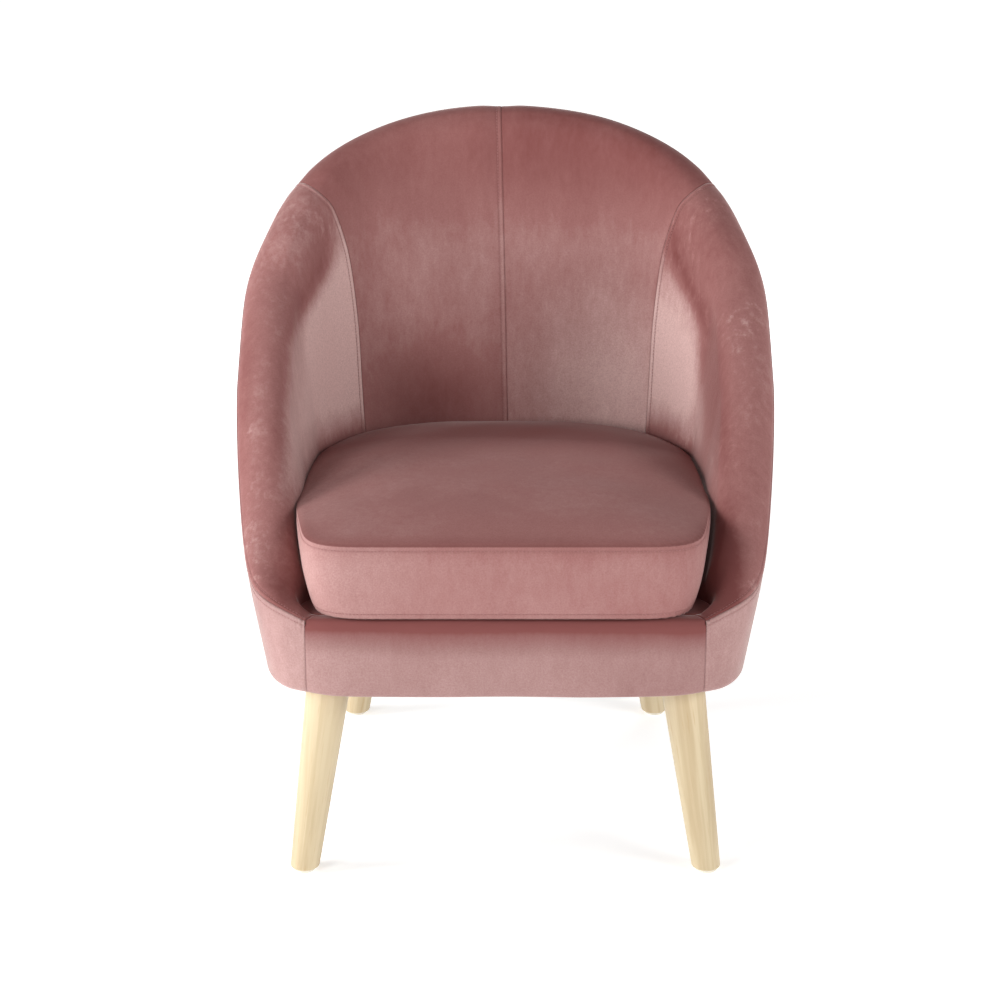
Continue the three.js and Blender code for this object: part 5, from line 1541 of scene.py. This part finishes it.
# %% Sew in the zip
ZIP_SHARE, TOOTH_PITCH, TOOTH_PROUD, TOOTH_LOWERED = 0.186, 0.0032, 0.0006, 0.0012
TOOTH_SIZE, TOOTH_HEAD, TOOTH_TAPER = (0.0016, 0.0010, 0.0034), (0, 0, 0.0005), (0.6, 0.7, 1)
UP = Vector((0, 0, 1))
band_rings = sewn_panels[1]
middle_row = band_rings[band_rings.shape[0] // 2]
middle_out = ring_directions(band_rings)[band_rings.shape[0] // 2]
along_band = run_round(middle_row)
half_band = along_band[-1] / 2
zip_from, zip_to = half_band * (1 - ZIP_SHARE), half_band * (1 + ZIP_SHARE)


def on_line(stop, run, spots, facing):
    """The place and the direction outwards at a distance along a line."""
    spot, out = (at_run(np.array([stop]), run, kind)[0] for kind in (spots, facing))
    return Vector(spot), Vector(out).normalized()


def block(size):
    """A box of a size round the origin, open for modelling by its faces."""
    bpy.ops.object.select_all(action="DESELECT")
    bpy.ops.mesh.primitive_cube_add(size=1, location=(0, 0, 0))
    piece = bpy.context.object
    piece.data.transform(Matrix.Diagonal((*size, 1)))
    shape = edit(piece)
    bpy.ops.mesh.select_mode(type="FACE")
    return piece, shape


def copied(name, pattern, spots, finish, body):
    """One piece of many copies of a pattern, each at a place with its outside and its top."""
    bpy.ops.object.mode_set(mode="OBJECT")
    corners = [vertex.co.copy() for vertex in pattern.data.vertices]
    walls = [list(face.vertices) for face in pattern.data.polygons]
    bpy.data.objects.remove(pattern)
    points, faces = [], []
    for spot, out, up in spots:
        turn = Matrix((out.cross(up).normalized(), out, up)).transposed()
        faces += [[len(points) + k for k in wall] for wall in walls]
        points += [tuple(spot + turn @ corner) for corner in corners]
    piece = add_piece(name, points, faces, finish, body)
    piece.data.polygons.foreach_set("use_smooth", np.zeros(len(faces), bool))
    print(name, "has", len(spots), "copies")


tooth, shape = block(TOOTH_SIZE)
pick(tooth, shape, shape.faces, lambda face: face.normal.z > 0.9)
bpy.ops.mesh.extrude_region_move(TRANSFORM_OT_translate={"value": TOOTH_HEAD})
bpy.ops.transform.resize(value=TOOTH_TAPER)
spots = []
for number, stop in enumerate(np.arange(zip_from, zip_to, TOOTH_PITCH / 2)):
    spot, out = on_line(stop, along_band, middle_row, middle_out)
    up = UP if number % 2 else -UP
    spots.append((spot + out * TOOTH_PROUD - up * TOOTH_LOWERED, out, up))
copied("cushion_zip_teeth", tooth, spots, tape.material, "seat_cushion")

# %% Shape the slider
SLIDER_SIZE, SLIDER_TAPER, SLIDER_EDGE = (0.011, 0.0022, 0.0075), (1, 0.8, 0.66), 0.0005
PULL_PLACE, PULL_RADIUS, PULL_WIRE, SLIDER_PROUD = (0.0062, 0.0006, 0), 0.0026, 0.0005, 0.0012
slider_low, slider_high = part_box("cushion_zip_slider")
slider_middle = np.array((slider_low + slider_high) / 2)
nearest = int(np.argmin(np.linalg.norm(middle_row - slider_middle, axis=1)))
spot, out = on_line(along_band[nearest], along_band, middle_row, middle_out)

slider, shape = block(SLIDER_SIZE)
pick(slider, shape, shape.faces, lambda face: abs(face.normal.x) > 0.9)
bpy.ops.transform.resize(value=SLIDER_TAPER)
bpy.ops.mesh.select_all(action="SELECT")
bpy.ops.mesh.bevel(offset=SLIDER_EDGE, segments=2, affect="EDGES")
bpy.ops.mesh.select_all(action="DESELECT")
bpy.ops.mesh.primitive_torus_add(
    location=PULL_PLACE, rotation=(math.pi / 2, 0, 0), major_radius=PULL_RADIUS,
    minor_radius=PULL_WIRE, major_segments=20, minor_segments=6,
)
finished(slider, "zip_slider_with_pull", "seat_cushion", steel.material)
turn = Matrix((UP.cross(out).normalized(), out, UP)).transposed().to_4x4()
slider.data.transform(Matrix.Translation(spot + out * SLIDER_PROUD) @ turn)
slider.data.flip_normals()
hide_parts("cushion_zip_slider")
print("slider at", [round(value, 3) for value in spot])

# %% [markdown]
# ## Dust cloth
# The underside is closed with a thin black non-woven cloth, cut to the outline of the base and
# stapled over the raw edge of the velvet. It is pulled flat, so it is made as a flat sheet that
# only sags a little in the middle, and one staple is shaped and copied round its edge.

# %% Stretch the dust cloth
DUST_FOOT, DUST_THICKNESS, DUST_INSET, DUST_SAG = 0.2339, 0.0008, 0.024, 0.0012
DUST_PLANE, DUST_STATIONS, DUST_RINGS = BASE_HEIGHT + 0.002, 260, 20
lining = Finish("black_lining", Roughness=0.92, Specular_IOR_Level=0.2)
fibres = lining.noise(lining.coordinates(), 420.0, detail=4.0, roughness=0.75, distortion=1.2)
dimples = lining.node("TexVoronoi", Vector=lining.coordinates(), Scale=520.0)
lining.set("Base Color", lining.blend(fibres, (0.012, 0.012, 0.013), (0.05, 0.048, 0.05)))
lining.bump(fibres * 0.6 + dimples * 0.4, distance=0.0004, strength=0.5)

dust_loop = whole_loop(place(DUST_PLANE, ROUND_SHARES, DUST_INSET, 0.0), DUST_STATIONS)
sheet_rings, poles = [], []
for level, order in ((DUST_FOOT + DUST_THICKNESS, 1), (DUST_FOOT, -1)):
    for reach in np.linspace(0.05, 1, DUST_RINGS)[::order]:
        sag = DUST_SAG * (1 - reach**2) ** 2
        sheet_rings.append(mix(MIDDLE, dust_loop, reach) + (0, 0, level - sag))
    poles.append(MIDDLE + (0, 0, level - DUST_SAG))
dust = closed_rings("dust_cloth_sheet", np.array(sheet_rings), poles, lining.material, "chair")
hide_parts("dust_cloth")

# %% Staple it down
STAPLE_WIDTH, STAPLE_WIRE, STAPLE_PITCH, STAPLE_INSET = 0.010, 0.0007, 0.034, 0.006
STAPLE_BEND, STAPLE_TOOTH = 0.42 * STAPLE_WIDTH, (0, 0, 0.0009)
staple, shape = block((STAPLE_WIDTH, 2 * STAPLE_WIRE, STAPLE_WIRE))
for bend in (-STAPLE_BEND, STAPLE_BEND):
    bpy.ops.mesh.select_all(action="SELECT")
    bpy.ops.mesh.bisect(plane_co=(bend, 0, 0), plane_no=(1, 0, 0), use_fill=False)
shape = bmesh.from_edit_mesh(staple.data)
bpy.ops.mesh.select_all(action="DESELECT")
pick(staple, shape, shape.faces,
     lambda face: face.normal.z > 0.9 and abs(face.calc_center_median().x) > STAPLE_BEND)
bpy.ops.mesh.extrude_region_move(TRANSFORM_OT_translate={"value": STAPLE_TOOTH})

staple_out = loop_facing(dust_loop)
staple_line = dust_loop - staple_out * STAPLE_INSET
run = run_round(staple_line)
lift = UP * (DUST_FOOT - STAPLE_WIRE / 2)
spots = []
for stop in np.arange(STAPLE_PITCH / 2, run[-1], STAPLE_PITCH):
    spot, out = on_line(stop, run, staple_line, staple_out)
    spots.append((spot + lift, out, UP))
copied("dust_cloth_staples", staple, spots, steel.material, "chair")

# %% [markdown]
# ## Inside pieces
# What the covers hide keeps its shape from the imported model: foam, wadding, plywood, rails,
# springs and bolts. Only the foam of the cushion follows its blown-up cover. Each still gets the
# finish of the real stuff, as the visible pieces do, because someone may take the chair apart on
# the screen.

# %% Finishes of the inside pieces
def open_foam():
    """Pale yellow foam with open cells."""
    foam = Finish("seat_foam", Roughness=0.9)
    cells = foam.node("TexVoronoi", Vector=foam.coordinates(), Scale=700.0)
    cloud = foam.noise(foam.coordinates(), 40.0)
    shade = cells * 0.8 + cloud * 0.3
    foam.set("Base Color", foam.blend(shade, (0.62, 0.55, 0.32), (0.84, 0.78, 0.53)))
    foam.bump(cells, distance=0.0008, strength=0.7)
    return foam.material


def soft_wadding():
    """White fluff of long strands."""
    fluff = Finish("wadding_fluff", Roughness=0.95)
    strands = fluff.noise(fluff.coordinates((1, 1, 0.4)), 240.0, detail=5.0, roughness=0.75,
                          distortion=2.0)
    fluff.set("Base Color", fluff.blend(strands, (0.70, 0.70, 0.67), (0.92, 0.92, 0.90)))
    fluff.bump(strands, distance=0.0015, strength=0.7)
    return fluff.material


def sawn_wood(name, pale, dark, layers=False):
    """A board with its figure along it, and for plywood with its layers."""
    board = Finish(name, Roughness=0.7)
    place_of = board.coordinates((1.0, 0.12, 1.0))
    figure = board.noise(place_of, 70.0, detail=4.0, roughness=0.6, distortion=0.6)
    tone = board.blend(figure.steps(0.35, 0.7), pale, dark)
    if layers:
        ply = board.node("TexWave", Vector=board.coordinates(), Scale=110.0, Distortion=0.6,
                         settings={"bands_direction": "Z"}, output=1)
        tone = board.blend(ply * 0.25, tone, dark)
    board.set("Base Color", tone)
    board.bump(figure, distance=0.0005, strength=0.4)
    return board.material


finish_of = {
    "foam": open_foam(),
    "wadding": soft_wadding(),
    "plywood": sawn_wood("raw_plywood", (0.68, 0.49, 0.26), (0.47, 0.30, 0.14), layers=True),
    "timber": sawn_wood("sawn_softwood", (0.62, 0.42, 0.20), (0.42, 0.25, 0.10)),
    "steel": steel.material,
    "velvet": shell_velvet,
    "lining": lining.material,
    "leg_wood": wood.material,
    "glide_plastic": nylon.material,
}
for row in frame["record"]["subparts"]:
    held = nodes[row["node"]]
    held.data.materials.clear()
    held.data.materials.append(finish_of[row["material_slot"]])

# %% Shape the foam inside the cushion
FOAM_INSET = 0.0040
foam_rings = swollen - ring_directions(swollen) * FOAM_INSET
foam_poles = [swollen_poles[0] - (0, 0, FOAM_INSET), swollen_poles[1] + (0, 0, FOAM_INSET)]
filling = closed_rings(
    "cushion_foam_block", foam_rings, foam_poles, finish_of["foam"], "seat_cushion"
)
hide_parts("cushion_foam")
print("foam block up to", round(float(foam_rings[..., 2].max()), 4))

# %% [markdown]
# ## Floor
# The floor is one pale plane under the feet. It glows a little, and more further away, like the
# lit sweep of a studio, so that it stays white. It is stage, so it is neither counted nor
# exported.

# %% Lay the floor
FLOOR_SIZE, PAPER_GLOW, PAPER_NEAR, PAPER_FAR = 14.0, 0.46, 0.8, 2.6
bpy.ops.object.select_all(action="DESELECT")
bpy.ops.mesh.primitive_plane_add(size=FLOOR_SIZE, location=(0, 0, 0))
floor = bpy.context.object
floor.name = "studio_floor"
paper = Finish("white_paper", Roughness=0.9, Specular_IOR_Level=0.1)
fibre = paper.noise(paper.coordinates(), 30.0, detail=2.0)
paper.set("Base Color", paper.blend(fibre, (0.92, 0.92, 0.92), (0.95, 0.95, 0.95)))
away = paper.node(
    "VectorMath", output="Value", settings={"operation": "LENGTH"}, Vector=paper.coordinates()
)
glow = away.steps(PAPER_NEAR, PAPER_FAR)
near_glow, far_glow = (PAPER_GLOW,) * 3, (1.0, 1.0, 1.0)
paper.set("Emission Color", paper.blend(glow, near_glow, far_glow))
paper.set("Emission Strength", 1.0)
floor.data.materials.append(paper.material)
print("floor of", FLOOR_SIZE, "m")
